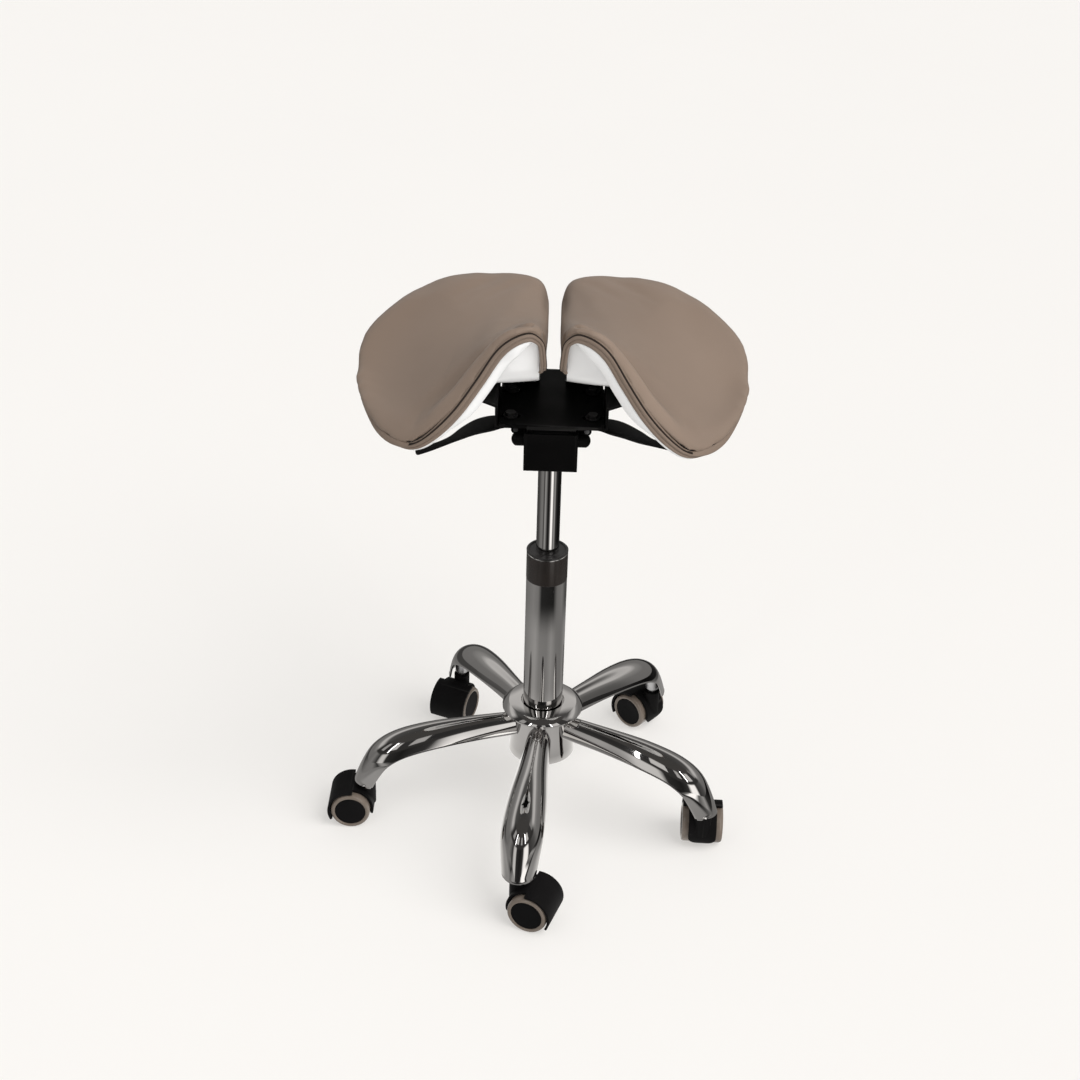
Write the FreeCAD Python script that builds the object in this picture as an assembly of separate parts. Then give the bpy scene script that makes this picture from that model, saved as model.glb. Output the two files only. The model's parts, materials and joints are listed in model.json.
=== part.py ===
import FreeCAD, Part
import math
import os

V = FreeCAD.Vector
X_AXIS = V(1, 0, 0)
Y_AXIS = V(0, 1, 0)
Z_AXIS = V(0, 0, 1)
ORIGIN = V(0, 0, 0)

# General
OVERRUN = 20.0  # how far a cutting tool runs past what it cuts
RUNNING_FIT = 0.05  # radial clearance of a turning or sliding fit
SOFT_GAP = 0.3  # clearance round upholstery and between sliding sheets
HEX_SIDES = 6

# Column
LIFT_TUBE_RADIUS = 25.0
LIFT_TUBE_WALL = 1.5
LIFT_TUBE_LENGTH = 295.5
COLUMN_FOOT_HEIGHT = 84.0
END_PLATE_THICKNESS = 4.0
PISTON_TUBE_RADIUS = 14.0
PISTON_TUBE_WALL = 1.5
PISTON_TUBE_LENGTH = 315.0
PISTON_TUBE_CAP = 6.0
GUIDE_BUSH_LENGTH = 60.0
GUIDE_BUSH_LIP = 2.5
GUIDE_BUSH_OVERHANG = 0.4
GUIDE_BUSH_DISH = 1.2
GUIDE_BUSH_RIM = 3.0
ROD_RADIUS = 5.0
ROD_NECK_RADIUS = 4.0
ROD_LAP = 65.5  # how far the rod reaches up into the inner tube
ROD_CLIP_RADIUS = 8.0
ROD_CLIP_THICKNESS = 2.0
BEARING_RADIUS = 12.0
BEARING_HEIGHT = 6.0
PISTON_HEIGHT = 14.0
SEAL_HEIGHT = 12.0
RELEASE_PIN_RADIUS = 3.0
RELEASE_PIN_LENGTH = 20.0
RELEASE_PIN_STAND = 6.0

# Foot
HUB_RADIUS = 35.0
HUB_HEIGHT = 64.0
HUB_FLARE = 7.0
HUB_FLARE_HEIGHT = 9.0
FLANGE_RADIUS = 51.0
FLANGE_TOP_RADIUS = 42.7
FLANGE_RIM_HEIGHT = 3.5
FLANGE_BEVEL_HEIGHT = 6.5
HUB_BOTTOM_HEIGHT = 85.0
HUB_GROOVE_WIDTH = 1.6
HUB_GROOVE_DEPTH = 6.0
ARM_COUNT = 5
ARM_FIRST_ANGLE = -95.73
ARM_REACH = 240.5
ARM_ROOT_HEIGHT = 142.0
ARM_TIP_HEIGHT = 62.0
ARM_HALF_WIDTH = 27.0
ARM_DEPTH = 23.0
ARM_WALL = 2.0
ARM_END_TURN = 90.0
ARM_SHOULDER_SHARE = 0.62
ARM_CROWN_FACETS = 6
# reach, height, turn, half width and depth along one arm, from hub to nose
ARM_SHARES = (
    (0.135, 1.00, 0.00, 0.55, 1.00),
    (0.37, 0.98, 0.02, 0.64, 1.00),
    (0.60, 0.93, 0.09, 0.88, 1.00),
    (0.78, 0.81, 0.27, 1.00, 0.97),
    (0.90, 0.60, 0.52, 0.98, 0.94),
    (0.97, 0.32, 0.76, 0.91, 0.88),
    (1.00, 0.00, 1.00, 0.81, 0.82),
)
CASTER_SETBACK = 14.5  # how far a caster stands in from the nose
SOCKET_RADIUS = 9.0
SOCKET_BOTTOM_HEIGHT = 64.0
SOCKET_REACH = 60.0

# Casters
WHEEL_RADIUS = 25.0
WHEEL_WIDTH = 19.0
WHEEL_COVER = 3.0
CASTER_TRAIL = 20.5
AXLE_RADIUS = 3.0
FORK_WIDTH = 13.0
WHEEL_SIDE_GAP = 0.6
HOOD_GAP = 1.4
HOOD_WALL = 2.8
HOOD_START_ANGLE = -28.0
HOOD_CROWN_ANGLE = 96.0
HOOD_END_ANGLE = 207.0
HOOD_SHIELD_WIDTH = 35.0
HOOD_SHIELD_CORNER = 11.0
HOOD_TIP_RISE = 12.0
HOOD_INSET = 1.0
HOOD_BOSS_RADIUS = 10.5
HOOD_BOSS_TOP = 58.5
STEM_RADIUS = 5.5
STEM_TOP_HEIGHT = 84.0
STEM_FOOT_HEIGHT = 36.0
CASTER_ANGLES = (-20.0, 88.0, 140.0, 247.0, 180.0)

# Tilt housing
HOUSING_WIDTH = 62.0
HOUSING_FRONT = 48.0
HOUSING_BACK = 62.0
HOUSING_BOTTOM_HEIGHT = 512.0
HOUSING_FRONT_RISE = 48.5
HOUSING_BACK_RISE = 28.0
HOUSING_WALL = 3.0
HOUSING_BEND = 4.0
SOCKET_TUBE_WALL = 4.0
SHAFT_RADIUS = 8.0
SHAFT_LENGTH = 91.0
SHAFT_SETBACK = 33.0
SHAFT_RISE = 35.0
SHAFT_DOME = 5.0
SPRING_SLEEVE_WALL = 2.6

# Seat plate
PLATE_HALF_WIDTH = 60.0
PLATE_FRONT = 47.5
PLATE_TONGUE = 50.5
PLATE_BACK = 105.0
PLATE_RISE = 59.5
PLATE_THICKNESS = 4.0
PLATE_CORNER = 8.0
TONGUE_HALF_WIDTH = 28.0
LUG_THICKNESS = 4.0
LUG_HALF_WIDTH = 9.0
LUG_EYE_RADIUS = 11.0
LUG_GAP = 1.0
SLOT_LENGTH = 24.0
SLOT_WIDTH = 8.5
SLOT_MIDDLE = 47.0
SLOT_FRONT = -24.0
SLOT_BACK = 43.0

# Seat brackets and fasteners
BRACKET_SHEET = 3.0
BRACKET_FRONT = 40.0
BRACKET_BACK = 62.0
BRACKET_FOOT_REACH = 25.0
BRACKET_WEB_HEIGHT = 22.0
BRACKET_WING_REACH = 26.0
BRACKET_WING_RISE = 10.0
BRACKET_CLEARANCE = 1.5
BOLT_RADIUS = 4.0
BOLT_HEAD_RADIUS = 6.5
BOLT_HEAD_HEIGHT = 3.5
WASHER_RADIUS = 8.5
WASHER_THICKNESS = 1.5
NUT_HEIGHT = 5.0
SCREW_HEAD_RADIUS = 4.5
SCREW_HEAD_HEIGHT = 2.5
SCREW_RADIUS = 2.5
SCREW_LENGTH = 14.0
SCREW_SPACING = 50.0
BOSS_RADIUS = 7.0

# Levers
LEVER_PIVOT_OFFSET = 41.0
LEVER_PIVOT_RISE = 39.0
LEVER_PIN_RADIUS = 3.0
LEVER_BARREL_RADIUS = 5.5
LEVER_BARREL_LENGTH = 22.0
LEVER_MIDDLE = -4.0
LEVER_EAR_THICKNESS = 3.0
LEVER_EAR_GAP = 0.5
LEVER_REACH = 158.0
LEVER_DROP = 40.0
LEVER_HALF_WIDTH = 19.0
LEVER_THICKNESS = 6.0
# reach, drop, half width and thickness along one lever, from pivot to tip
LEVER_SHARES = (
    (0.285, -0.02, 0.52, 0.90),
    (0.36, -0.02, 0.62, 0.90),
    (0.43, 0.00, 1.00, 1.00),
    (0.55, 0.13, 1.00, 1.00),
    (0.66, 0.36, 0.78, 0.95),
    (0.76, 0.62, 0.30, 0.90),
    (0.87, 0.84, 0.22, 0.90),
    (0.95, 0.95, 0.30, 0.95),
    (1.00, 1.00, 0.58, 1.00),
)
LEVER_FINGER_WIDTH = 10.0
LEVER_FINGER_THICKNESS = 4.0
WINDOW_MARGIN = 4.0

# Seat
SEAT_HALF_WIDTH = 229.0
SEAT_REACH = 160.0
SEAT_DROP = 3.5  # lowest seam below the top of the plate
SEAT_RISE = 136.0
ROLL_HEIGHT = 30.0
BORDER_HEIGHT = 7.0
SHELL_RIM_HEIGHT = 8.0
SHELL_THICKNESS = 4.0
SHELL_RIM_INSET = 1.2
HULL_FRONT = 56.0
HULL_BACK = 104.0
HULL_RIM_DISTANCE = 13.0
ROLL_SWELL_SHARE = 0.12
ROLL_LIFT_SHARE = 0.62
FRONT_RUN_SHARE = 0.95
BACK_RUN_SHARE = 0.75
# across, front reach, front height, back reach, back height, front roll,
# back roll, middle of the top and middle of the base, from the gap outwards
SEAT_SHARES = (
    (0.037, -0.51, 0.69, 0.88, 0.52, 0.93, 0.42, 0.68, 0.44),
    (0.050, -0.54, 0.89, 0.93, 0.54, 0.42, 0.82, 0.73, 0.48),
    (0.075, -0.56, 0.96, 0.96, 0.57, 0.41, 0.96, 0.75, 0.52),
    (0.118, -0.58, 1.00, 0.98, 0.59, 0.41, 1.00, 0.765, 0.545),
    (0.197, -0.61, 0.96, 0.99, 0.605, 0.41, 1.00, 0.76, 0.545),
    (0.271, -0.625, 0.85, 1.00, 0.605, 0.43, 1.00, 0.74, 0.53),
    (0.358, -0.655, 0.62, 1.00, 0.605, 0.44, 1.00, 0.70, 0.485),
    (0.459, -0.69, 0.375, 0.99, 0.60, 0.44, 1.00, 0.64, 0.40),
    (0.568, -0.705, 0.175, 0.965, 0.57, 0.44, 1.00, 0.545, 0.29),
    (0.664, -0.685, 0.05, 0.915, 0.53, 0.44, 0.96, 0.44, 0.19),
    (0.764, -0.605, 0.005, 0.83, 0.475, 0.46, 0.93, 0.33, 0.11),
    (0.856, -0.44, 0.01, 0.72, 0.39, 0.49, 0.88, 0.26, 0.08),
    (0.926, -0.24, 0.055, 0.625, 0.305, 0.50, 0.82, 0.25, 0.095),
    (0.969, -0.05, 0.11, 0.53, 0.245, 0.50, 0.72, 0.27, 0.13),
    (0.993, 0.09, 0.16, 0.38, 0.21, 0.42, 0.50, 0.285, 0.165),
)
# foot height and top margin of the hull between the gap and the flank
HULL_SHARES = (
    (0.0742, 0.00),
    (0.131, 0.00),
    (0.197, 0.00),
    (0.262, 0.00),
    (0.33, 0.30),
    (0.38, 0.62),
)


def cylinder(radius, bottom, top, x=0, y=0):
    """Upright cylinder between two heights."""
    return Part.makeCylinder(radius, top - bottom, V(x, y, bottom), Z_AXIS)


def tube(outer, inner, bottom, top, x=0, y=0):
    """Upright tube between two heights, open at both ends."""
    bore = cylinder(inner, bottom - OVERRUN, top + OVERRUN, x, y)
    return cylinder(outer, bottom, top, x, y).cut(bore)


def hexagon(radius, bottom, top, x, y):
    """Upright hexagonal bar between two heights."""
    turns = [math.radians(360 / HEX_SIDES * i) for i in range(HEX_SIDES)]
    points = [V(x + radius * math.cos(t), y + radius * math.sin(t), bottom) for t in turns]
    face = Part.Face(Part.makePolygon(points + [points[0]]))
    return face.extrude(V(0, 0, top - bottom))


def block(x_range, y_range, z_range):
    """Box between three pairs of limits."""
    corner = V(x_range[0], y_range[0], z_range[0])
    size = [pair[1] - pair[0] for pair in (x_range, y_range, z_range)]
    return Part.makeBox(size[0], size[1], size[2], corner)


def revolved(profile, turn=360):
    """Solid of revolution about Z of (radius, height) points."""
    points = [V(radius, 0, height) for radius, height in profile]
    wire = Part.makePolygon(points + [points[0]])
    return Part.Face(wire).revolve(ORIGIN, Z_AXIS, turn)


def bar(radius, start, length, direction):
    """Round bar from a point along a direction."""
    return Part.makeCylinder(radius, length, start, direction)


def line(start, end):
    return Part.LineSegment(start, end).toShape()


def arc(start, middle, end):
    return Part.Arc(start, middle, end).toShape()


def turned(shape, angle, x=0, y=0):
    """Copy turned about Z and then moved."""
    copy = shape.copy()
    copy.rotate(ORIGIN, Z_AXIS, angle)
    copy.translate(V(x, y, 0))
    return copy


def mirrored(shape):
    return shape.mirror(ORIGIN, X_AXIS)


def save(name, shape):
    if shape.ShapeType == "Compound" and len(shape.Solids) == 1:
        shape = shape.Solids[0]
    shape.exportStep(os.path.join("parts", name + ".step"))
    print(name, len(shape.Solids), round(shape.Volume), shape.isValid())


# Heights and places that follow from the sizes
tube_top = COLUMN_FOOT_HEIGHT + LIFT_TUBE_LENGTH
tube_bore = LIFT_TUBE_RADIUS - LIFT_TUBE_WALL
housing_front_top = HOUSING_BOTTOM_HEIGHT + HOUSING_FRONT_RISE
housing_back_top = HOUSING_BOTTOM_HEIGHT + HOUSING_BACK_RISE
shaft_height = HOUSING_BOTTOM_HEIGHT + SHAFT_RISE
lever_pivot_height = HOUSING_BOTTOM_HEIGHT + LEVER_PIVOT_RISE
plate_top = HOUSING_BOTTOM_HEIGHT + PLATE_RISE
plate_bottom = plate_top - PLATE_THICKNESS
seat_low = plate_top - SEAT_DROP
piston_top = housing_front_top - PISTON_TUBE_CAP - RELEASE_PIN_STAND
piston_bottom = piston_top - PISTON_TUBE_LENGTH
piston_bore = PISTON_TUBE_RADIUS - PISTON_TUBE_WALL
bearing_bottom = COLUMN_FOOT_HEIGHT + END_PLATE_THICKNESS
rod_shoulder = bearing_bottom + BEARING_HEIGHT
hub_top = HUB_BOTTOM_HEIGHT + HUB_HEIGHT + FLANGE_RIM_HEIGHT + FLANGE_BEVEL_HEIGHT
caster_circle_radius = ARM_REACH - CASTER_SETBACK


def lift_tube():
    """Outer tube of the gas lift, closed below by a holed plate."""
    profile = (
        (ROD_NECK_RADIUS + RUNNING_FIT, COLUMN_FOOT_HEIGHT),
        (LIFT_TUBE_RADIUS, COLUMN_FOOT_HEIGHT),
        (LIFT_TUBE_RADIUS, tube_top),
        (tube_bore, tube_top),
        (tube_bore, bearing_bottom),
        (ROD_NECK_RADIUS + RUNNING_FIT, bearing_bottom),
    )
    return revolved(profile)


def guide_bush():
    """Plastic bush in the mouth of the outer tube, with a dished lip."""
    bore = PISTON_TUBE_RADIUS + RUNNING_FIT
    lip_top = tube_top + GUIDE_BUSH_LIP
    lip_radius = LIFT_TUBE_RADIUS + GUIDE_BUSH_OVERHANG
    profile = (
        (bore, tube_top - GUIDE_BUSH_LENGTH),
        (tube_bore, tube_top - GUIDE_BUSH_LENGTH),
        (tube_bore, tube_top),
        (lip_radius, tube_top),
        (lip_radius, lip_top),
        (lip_radius - GUIDE_BUSH_RIM, lip_top),
        (lip_radius - GUIDE_BUSH_RIM, lip_top - GUIDE_BUSH_DISH),
        (bore, lip_top - GUIDE_BUSH_DISH),
    )
    return revolved(profile)


def rod_and_piston():
    """Piston rod that stands on the thrust bearing, its piston and its lower clip."""
    rod_top = piston_bottom + ROD_LAP
    neck_bottom = COLUMN_FOOT_HEIGHT - ROD_CLIP_THICKNESS - ROD_CLIP_THICKNESS
    rod = cylinder(ROD_RADIUS, rod_shoulder, rod_top)
    neck = cylinder(ROD_NECK_RADIUS, neck_bottom, rod_shoulder)
    piston = cylinder(piston_bore - RUNNING_FIT, rod_top - PISTON_HEIGHT, rod_top)
    clip_top = COLUMN_FOOT_HEIGHT - RUNNING_FIT
    clip = cylinder(ROD_CLIP_RADIUS, clip_top - ROD_CLIP_THICKNESS, clip_top)
    return rod.fuse([neck, piston, clip]).removeSplitter()


def thrust_bearing():
    """Bearing that carries the rod on the end plate."""
    top = rod_shoulder - RUNNING_FIT
    return tube(BEARING_RADIUS, ROD_NECK_RADIUS + RUNNING_FIT, bearing_bottom, top)


def piston_tube():
    """Inner tube of the gas lift, with the closed end that holds the release pin."""
    pin_bore = RELEASE_PIN_RADIUS + RUNNING_FIT
    profile = (
        (pin_bore, piston_top),
        (PISTON_TUBE_RADIUS, piston_top),
        (PISTON_TUBE_RADIUS, piston_bottom),
        (piston_bore, piston_bottom),
        (piston_bore, piston_top - PISTON_TUBE_CAP),
        (pin_bore, piston_top - PISTON_TUBE_CAP),
    )
    return revolved(profile)


def rod_seal():
    """Seal and guide of the rod in the lower end of the inner tube."""
    bore = ROD_RADIUS + RUNNING_FIT
    return tube(piston_bore, bore, piston_bottom, piston_bottom + SEAL_HEIGHT)


def release_pin():
    top = piston_top + RELEASE_PIN_STAND
    return cylinder(RELEASE_PIN_RADIUS, top - RELEASE_PIN_LENGTH, top)


def hub():
    """Turned hub that holds the column, with a bevelled flange and a flared foot."""
    flange_bottom = HUB_BOTTOM_HEIGHT + HUB_HEIGHT
    groove_radius = LIFT_TUBE_RADIUS + HUB_GROOVE_WIDTH
    profile = (
        (LIFT_TUBE_RADIUS, HUB_BOTTOM_HEIGHT),
        (HUB_RADIUS + HUB_FLARE, HUB_BOTTOM_HEIGHT),
        (HUB_RADIUS, HUB_BOTTOM_HEIGHT + HUB_FLARE_HEIGHT),
        (HUB_RADIUS, flange_bottom),
        (FLANGE_RADIUS, flange_bottom),
        (FLANGE_RADIUS, flange_bottom + FLANGE_RIM_HEIGHT),
        (FLANGE_TOP_RADIUS, hub_top),
        (groove_radius, hub_top),
        (groove_radius, hub_top - HUB_GROOVE_DEPTH),
        (LIFT_TUBE_RADIUS, hub_top - HUB_GROOVE_DEPTH),
    )
    return revolved(profile)


def crown_points(half, below):
    """Points across a rounded crown, as (across, below) pairs from one side to the other."""
    high = half * ARM_SHOULDER_SHARE
    turns = [math.pi * i / ARM_CROWN_FACETS for i in range(ARM_CROWN_FACETS + 1)]
    return [(-half * math.cos(t), below + high - high * math.sin(t)) for t in turns]


def arm_section(shares):
    """Inverted U across the arm, square to the arm's run at that place."""
    reach, height, turn, width, depth = shares
    rise = ARM_ROOT_HEIGHT - ARM_TIP_HEIGHT
    crown = V(reach * ARM_REACH, 0, ARM_TIP_HEIGHT + height * rise)
    angle = math.radians(turn * ARM_END_TURN)
    up = V(math.sin(angle), 0, math.cos(angle))
    half = width * ARM_HALF_WIDTH
    inner = half - ARM_WALL
    deep = depth * ARM_DEPTH
    outside = [(-half, deep)] + crown_points(half, 0) + [(half, deep)]
    inside = [(-inner, deep)] + crown_points(inner, ARM_WALL) + [(inner, deep)]
    points = [crown + Y_AXIS * across - up * below for across, below in outside + inside[::-1]]
    return Part.makePolygon(points + [points[0]])


def arm():
    """Pressed steel arm, open underneath, that turns down into a rounded nose."""
    pressing = Part.makeLoft([arm_section(row) for row in ARM_SHARES], True, False)
    return pressing.cut(cylinder(HUB_RADIUS, 0, ARM_ROOT_HEIGHT + OVERRUN))


def socket(one_arm):
    """Socket for a caster stem, trimmed to the inside of the arm's nose."""
    top = SOCKET_BOTTOM_HEIGHT + SOCKET_REACH
    bore = STEM_RADIUS + RUNNING_FIT
    piece = tube(SOCKET_RADIUS, bore, SOCKET_BOTTOM_HEIGHT, top, caster_circle_radius)
    pieces = piece.cut(one_arm).Solids
    return min(pieces, key=lambda solid: solid.CenterOfMass.z)


def caster_places():
    """Angle of each arm and the swivel angle of the caster on it."""
    step = 360 / ARM_COUNT
    return [(ARM_FIRST_ANGLE + step * i, CASTER_ANGLES[i]) for i in range(ARM_COUNT)]


def wheel():
    """Wheel with its tread, beside the fork on the +Y side, on the axle line."""
    start = FORK_WIDTH / 2 + WHEEL_SIDE_GAP
    end = start + WHEEL_WIDTH
    bore = AXLE_RADIUS + RUNNING_FIT
    profile = (
        (bore, start),
        (WHEEL_RADIUS, start),
        (WHEEL_RADIUS, end),
        (0, end),
        (0, end - WHEEL_COVER),
        (bore, end - WHEEL_COVER),
    )
    solid = revolved(profile)
    solid.rotate(ORIGIN, X_AXIS, -90)
    solid.translate(V(CASTER_TRAIL, 0, WHEEL_RADIUS))
    return solid


def fender(half, start_angle, end_angle):
    """Curved wall of the hood round the axle line, between two angles from the trailing side."""
    inner = WHEEL_RADIUS + HOOD_GAP
    outer = inner + HOOD_WALL
    centre = V(CASTER_TRAIL, 0, WHEEL_RADIUS)
    corners = [V(CASTER_TRAIL + r, y, WHEEL_RADIUS)
               for r, y in ((inner, -half), (outer, -half), (outer, half), (inner, half))]
    face = Part.Face(Part.makePolygon(corners + [corners[0]]))
    face.rotate(centre, Y_AXIS, -start_angle)
    return face.revolve(centre, Y_AXIS, start_angle - end_angle)


def hood():
    """Full-width fender, narrower shield on the stem side, fork plate and swivel boss."""
    inner = WHEEL_RADIUS + HOOD_GAP
    outer = inner + HOOD_WALL
    half = FORK_WIDTH / 2 + WHEEL_SIDE_GAP + WHEEL_WIDTH - HOOD_INSET
    centre = V(CASTER_TRAIL, 0, WHEEL_RADIUS)
    shield = fender(HOOD_SHIELD_WIDTH / 2, HOOD_CROWN_ANGLE, HOOD_END_ANGLE)
    lower_corners = [edge for edge in shield.Edges
                     if edge.BoundBox.ZMax < WHEEL_RADIUS and edge.BoundBox.YLength < HOOD_GAP]
    radial = [edge for edge in lower_corners if edge.Length < HOOD_WALL + HOOD_GAP]
    shield = shield.makeFillet(HOOD_SHIELD_CORNER, radial)
    fork = bar(outer, centre - Y_AXIS * (FORK_WIDTH / 2), FORK_WIDTH, Y_AXIS)
    fork = fork.cut(block((-outer, CASTER_TRAIL + outer + OVERRUN), (-half, half),
                          (-OVERRUN, HOOD_TIP_RISE)))
    boss = cylinder(HOOD_BOSS_RADIUS, WHEEL_RADIUS, HOOD_BOSS_TOP)
    boss = boss.cut(wheel_space(inner, half))
    body = fender(half, HOOD_START_ANGLE, HOOD_CROWN_ANGLE).fuse([shield, fork, boss])
    stem_hole = cylinder(STEM_RADIUS, STEM_FOOT_HEIGHT, HOOD_BOSS_TOP + OVERRUN)
    axle_hole = bar(AXLE_RADIUS, centre - Y_AXIS * half, half + half, Y_AXIS)
    return body.cut(stem_hole).cut(axle_hole).removeSplitter()


def wheel_space(radius, half):
    """Room that the two wheels turn in."""
    spaces = []
    for side in (-1, 1):
        start = V(CASTER_TRAIL, side * FORK_WIDTH / 2, WHEEL_RADIUS)
        spaces.append(bar(radius, start, half + OVERRUN, Y_AXIS * side))
    return spaces[0].fuse(spaces[1])


def caster_pins():
    """Swivel stem and wheel axle."""
    stem = cylinder(STEM_RADIUS, STEM_FOOT_HEIGHT, STEM_TOP_HEIGHT)
    reach = FORK_WIDTH / 2 + WHEEL_SIDE_GAP + WHEEL_WIDTH - WHEEL_COVER - WHEEL_SIDE_GAP
    start = V(CASTER_TRAIL, -reach, WHEEL_RADIUS)
    return Part.makeCompound([stem, bar(AXLE_RADIUS, start, reach + reach, Y_AXIS)])


def housing():
    """Folded steel housing that carries the shaft and sits on the column."""
    half = HOUSING_WIDTH / 2
    side = (
        (-HOUSING_FRONT, HOUSING_BOTTOM_HEIGHT),
        (HOUSING_BACK, HOUSING_BOTTOM_HEIGHT),
        (HOUSING_BACK, housing_back_top),
        (-PISTON_TUBE_RADIUS, housing_front_top),
        (-HOUSING_FRONT, housing_front_top),
    )
    points = [V(-half, y, z) for y, z in side]
    outside = Part.Face(Part.makePolygon(points + [points[0]])).extrude(V(HOUSING_WIDTH, 0, 0))
    outside = bend_front(outside)
    hollow = block((-half + HOUSING_WALL, half - HOUSING_WALL),
                   (-HOUSING_FRONT + HOUSING_WALL, HOUSING_BACK + OVERRUN),
                   (HOUSING_BOTTOM_HEIGHT + HOUSING_WALL, housing_front_top + OVERRUN))
    shell = outside.cut(hollow)
    shell = shell.cut(cylinder(PISTON_TUBE_RADIUS, 0, housing_front_top))
    shell = shell.cut(shaft_bar(SHAFT_RADIUS, HOUSING_WIDTH))
    for side in (-1, 1):
        shell = shell.fuse(lever_ears(side))
    return shell.cut(lever_window()).removeSplitter()


def bend_front(solid):
    """Round the long lower front edge and the two upright front corners."""
    edges = []
    for edge in solid.Edges:
        low = edge.BoundBox
        on_front = abs(low.YMin + HOUSING_FRONT) + abs(low.YMax + HOUSING_FRONT) < RUNNING_FIT
        at_top = abs(low.ZMin - housing_front_top) < RUNNING_FIT
        if on_front and not at_top:
            edges.append(edge)
    return solid.makeFillet(HOUSING_BEND, edges)


def shaft_bar(radius, length):
    start = V(-length / 2, -SHAFT_SETBACK, shaft_height)
    return bar(radius, start, length, X_AXIS)


def taper_socket():
    """Tube welded into the housing that grips the top of the column."""
    bottom = HOUSING_BOTTOM_HEIGHT + HOUSING_WALL
    return tube(PISTON_TUBE_RADIUS + SOCKET_TUBE_WALL, PISTON_TUBE_RADIUS, bottom, piston_top)


def pivot_shaft():
    """Cross shaft with a domed cap on each end."""
    straight = SHAFT_LENGTH - SHAFT_DOME - SHAFT_DOME
    dome_radius = (SHAFT_RADIUS ** 2 + SHAFT_DOME ** 2) / (SHAFT_DOME + SHAFT_DOME)
    shaft = shaft_bar(SHAFT_RADIUS, straight)
    for side in (-1, 1):
        centre = V(side * (SHAFT_LENGTH / 2 - dome_radius), -SHAFT_SETBACK, shaft_height)
        start = V(side * straight / 2, -SHAFT_SETBACK, shaft_height)
        end_space = bar(SHAFT_RADIUS, start, SHAFT_DOME + OVERRUN, X_AXIS * side)
        shaft = shaft.fuse(Part.makeSphere(dome_radius, centre).common(end_space))
    return shaft.removeSplitter()


def spring_sleeve():
    """Rubber torsion sleeve on the shaft between the two lugs."""
    lug_inner = HOUSING_WIDTH / 2 - HOUSING_WALL - LUG_GAP - LUG_THICKNESS
    length = lug_inner + lug_inner - LUG_GAP
    outer = shaft_bar(SHAFT_RADIUS + SPRING_SLEEVE_WALL, length)
    return outer.cut(shaft_bar(SHAFT_RADIUS, length + OVERRUN))


def lever_axis(side):
    """Start of a lever's pin line, which runs along Y."""
    reach = LEVER_BARREL_LENGTH / 2 + LEVER_EAR_GAP + LEVER_EAR_THICKNESS
    return V(side * LEVER_PIVOT_OFFSET, LEVER_MIDDLE - reach, lever_pivot_height)


def lever_pins():
    reach = LEVER_BARREL_LENGTH / 2 + LEVER_EAR_GAP + LEVER_EAR_THICKNESS
    pins = [bar(LEVER_PIN_RADIUS, lever_axis(side), reach + reach, Y_AXIS) for side in (-1, 1)]
    return Part.makeCompound(pins)


def lever_ears(side):
    """Two ears on the side of the housing that hold a lever's pin."""
    inner = HOUSING_WIDTH / 2 - HOUSING_WALL
    ears = []
    for end in (-1, 1):
        near = LEVER_BARREL_LENGTH / 2 + LEVER_EAR_GAP
        far = near + LEVER_EAR_THICKNESS
        y_limits = sorted((LEVER_MIDDLE + end * near, LEVER_MIDDLE + end * far))
        x_limits = sorted((side * inner, side * LEVER_PIVOT_OFFSET))
        z_limits = (lever_pivot_height - LEVER_BARREL_RADIUS,
                    lever_pivot_height + LEVER_BARREL_RADIUS)
        ear = block(x_limits, y_limits, z_limits)
        round_end = bar(LEVER_BARREL_RADIUS, V(side * LEVER_PIVOT_OFFSET, y_limits[0],
                        lever_pivot_height), LEVER_EAR_THICKNESS, Y_AXIS)
        ears.append(ear.fuse(round_end))
    pair = ears[0].fuse(ears[1])
    return pair.cut(bar(LEVER_PIN_RADIUS, lever_axis(side), LEVER_REACH, Y_AXIS))


def lever_window():
    """Window in each side of the housing for the levers' fingers."""
    half = LEVER_FINGER_WIDTH / 2 + WINDOW_MARGIN / 2
    low = lever_pivot_height - LEVER_BARREL_RADIUS - WINDOW_MARGIN
    wide = HOUSING_WIDTH / 2 + RUNNING_FIT
    return block((-wide, wide), (LEVER_MIDDLE - half, LEVER_MIDDLE + half),
                 (low, housing_front_top + OVERRUN))


def lever_section(shares):
    """Flat section with sloping edges across a lever."""
    reach, drop, width, thickness = shares
    half = width * LEVER_HALF_WIDTH
    high = thickness * LEVER_THICKNESS / 2
    middle = V(reach * LEVER_REACH, LEVER_MIDDLE, lever_pivot_height - drop * LEVER_DROP)
    flat = half - high
    outline = ((-half, 0), (-flat, high), (flat, high), (half, 0), (flat, -high), (-flat, -high))
    points = [middle + V(0, y, z) for y, z in outline]
    return Part.makePolygon(points + [points[0]])


def lever(finger_end):
    """Moulded lever on the +X side: barrel, paddle, neck, tip and inner finger."""
    paddle = Part.makeLoft([lever_section(row) for row in LEVER_SHARES], True, True)
    start = V(LEVER_PIVOT_OFFSET, LEVER_MIDDLE - LEVER_BARREL_LENGTH / 2, lever_pivot_height)
    barrel = bar(LEVER_BARREL_RADIUS, start, LEVER_BARREL_LENGTH, Y_AXIS)
    half = LEVER_FINGER_WIDTH / 2
    low = piston_top + RELEASE_PIN_STAND + SOFT_GAP
    finger = block((finger_end, LEVER_PIVOT_OFFSET), (LEVER_MIDDLE - half, LEVER_MIDDLE + half),
                   (low, low + LEVER_FINGER_THICKNESS))
    solid = paddle.fuse(barrel).fuse(finger)
    bore = bar(LEVER_PIN_RADIUS + RUNNING_FIT, start - Y_AXIS * OVERRUN,
               LEVER_BARREL_LENGTH + OVERRUN + OVERRUN, Y_AXIS)
    return solid.cut(bore).removeSplitter()


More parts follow.
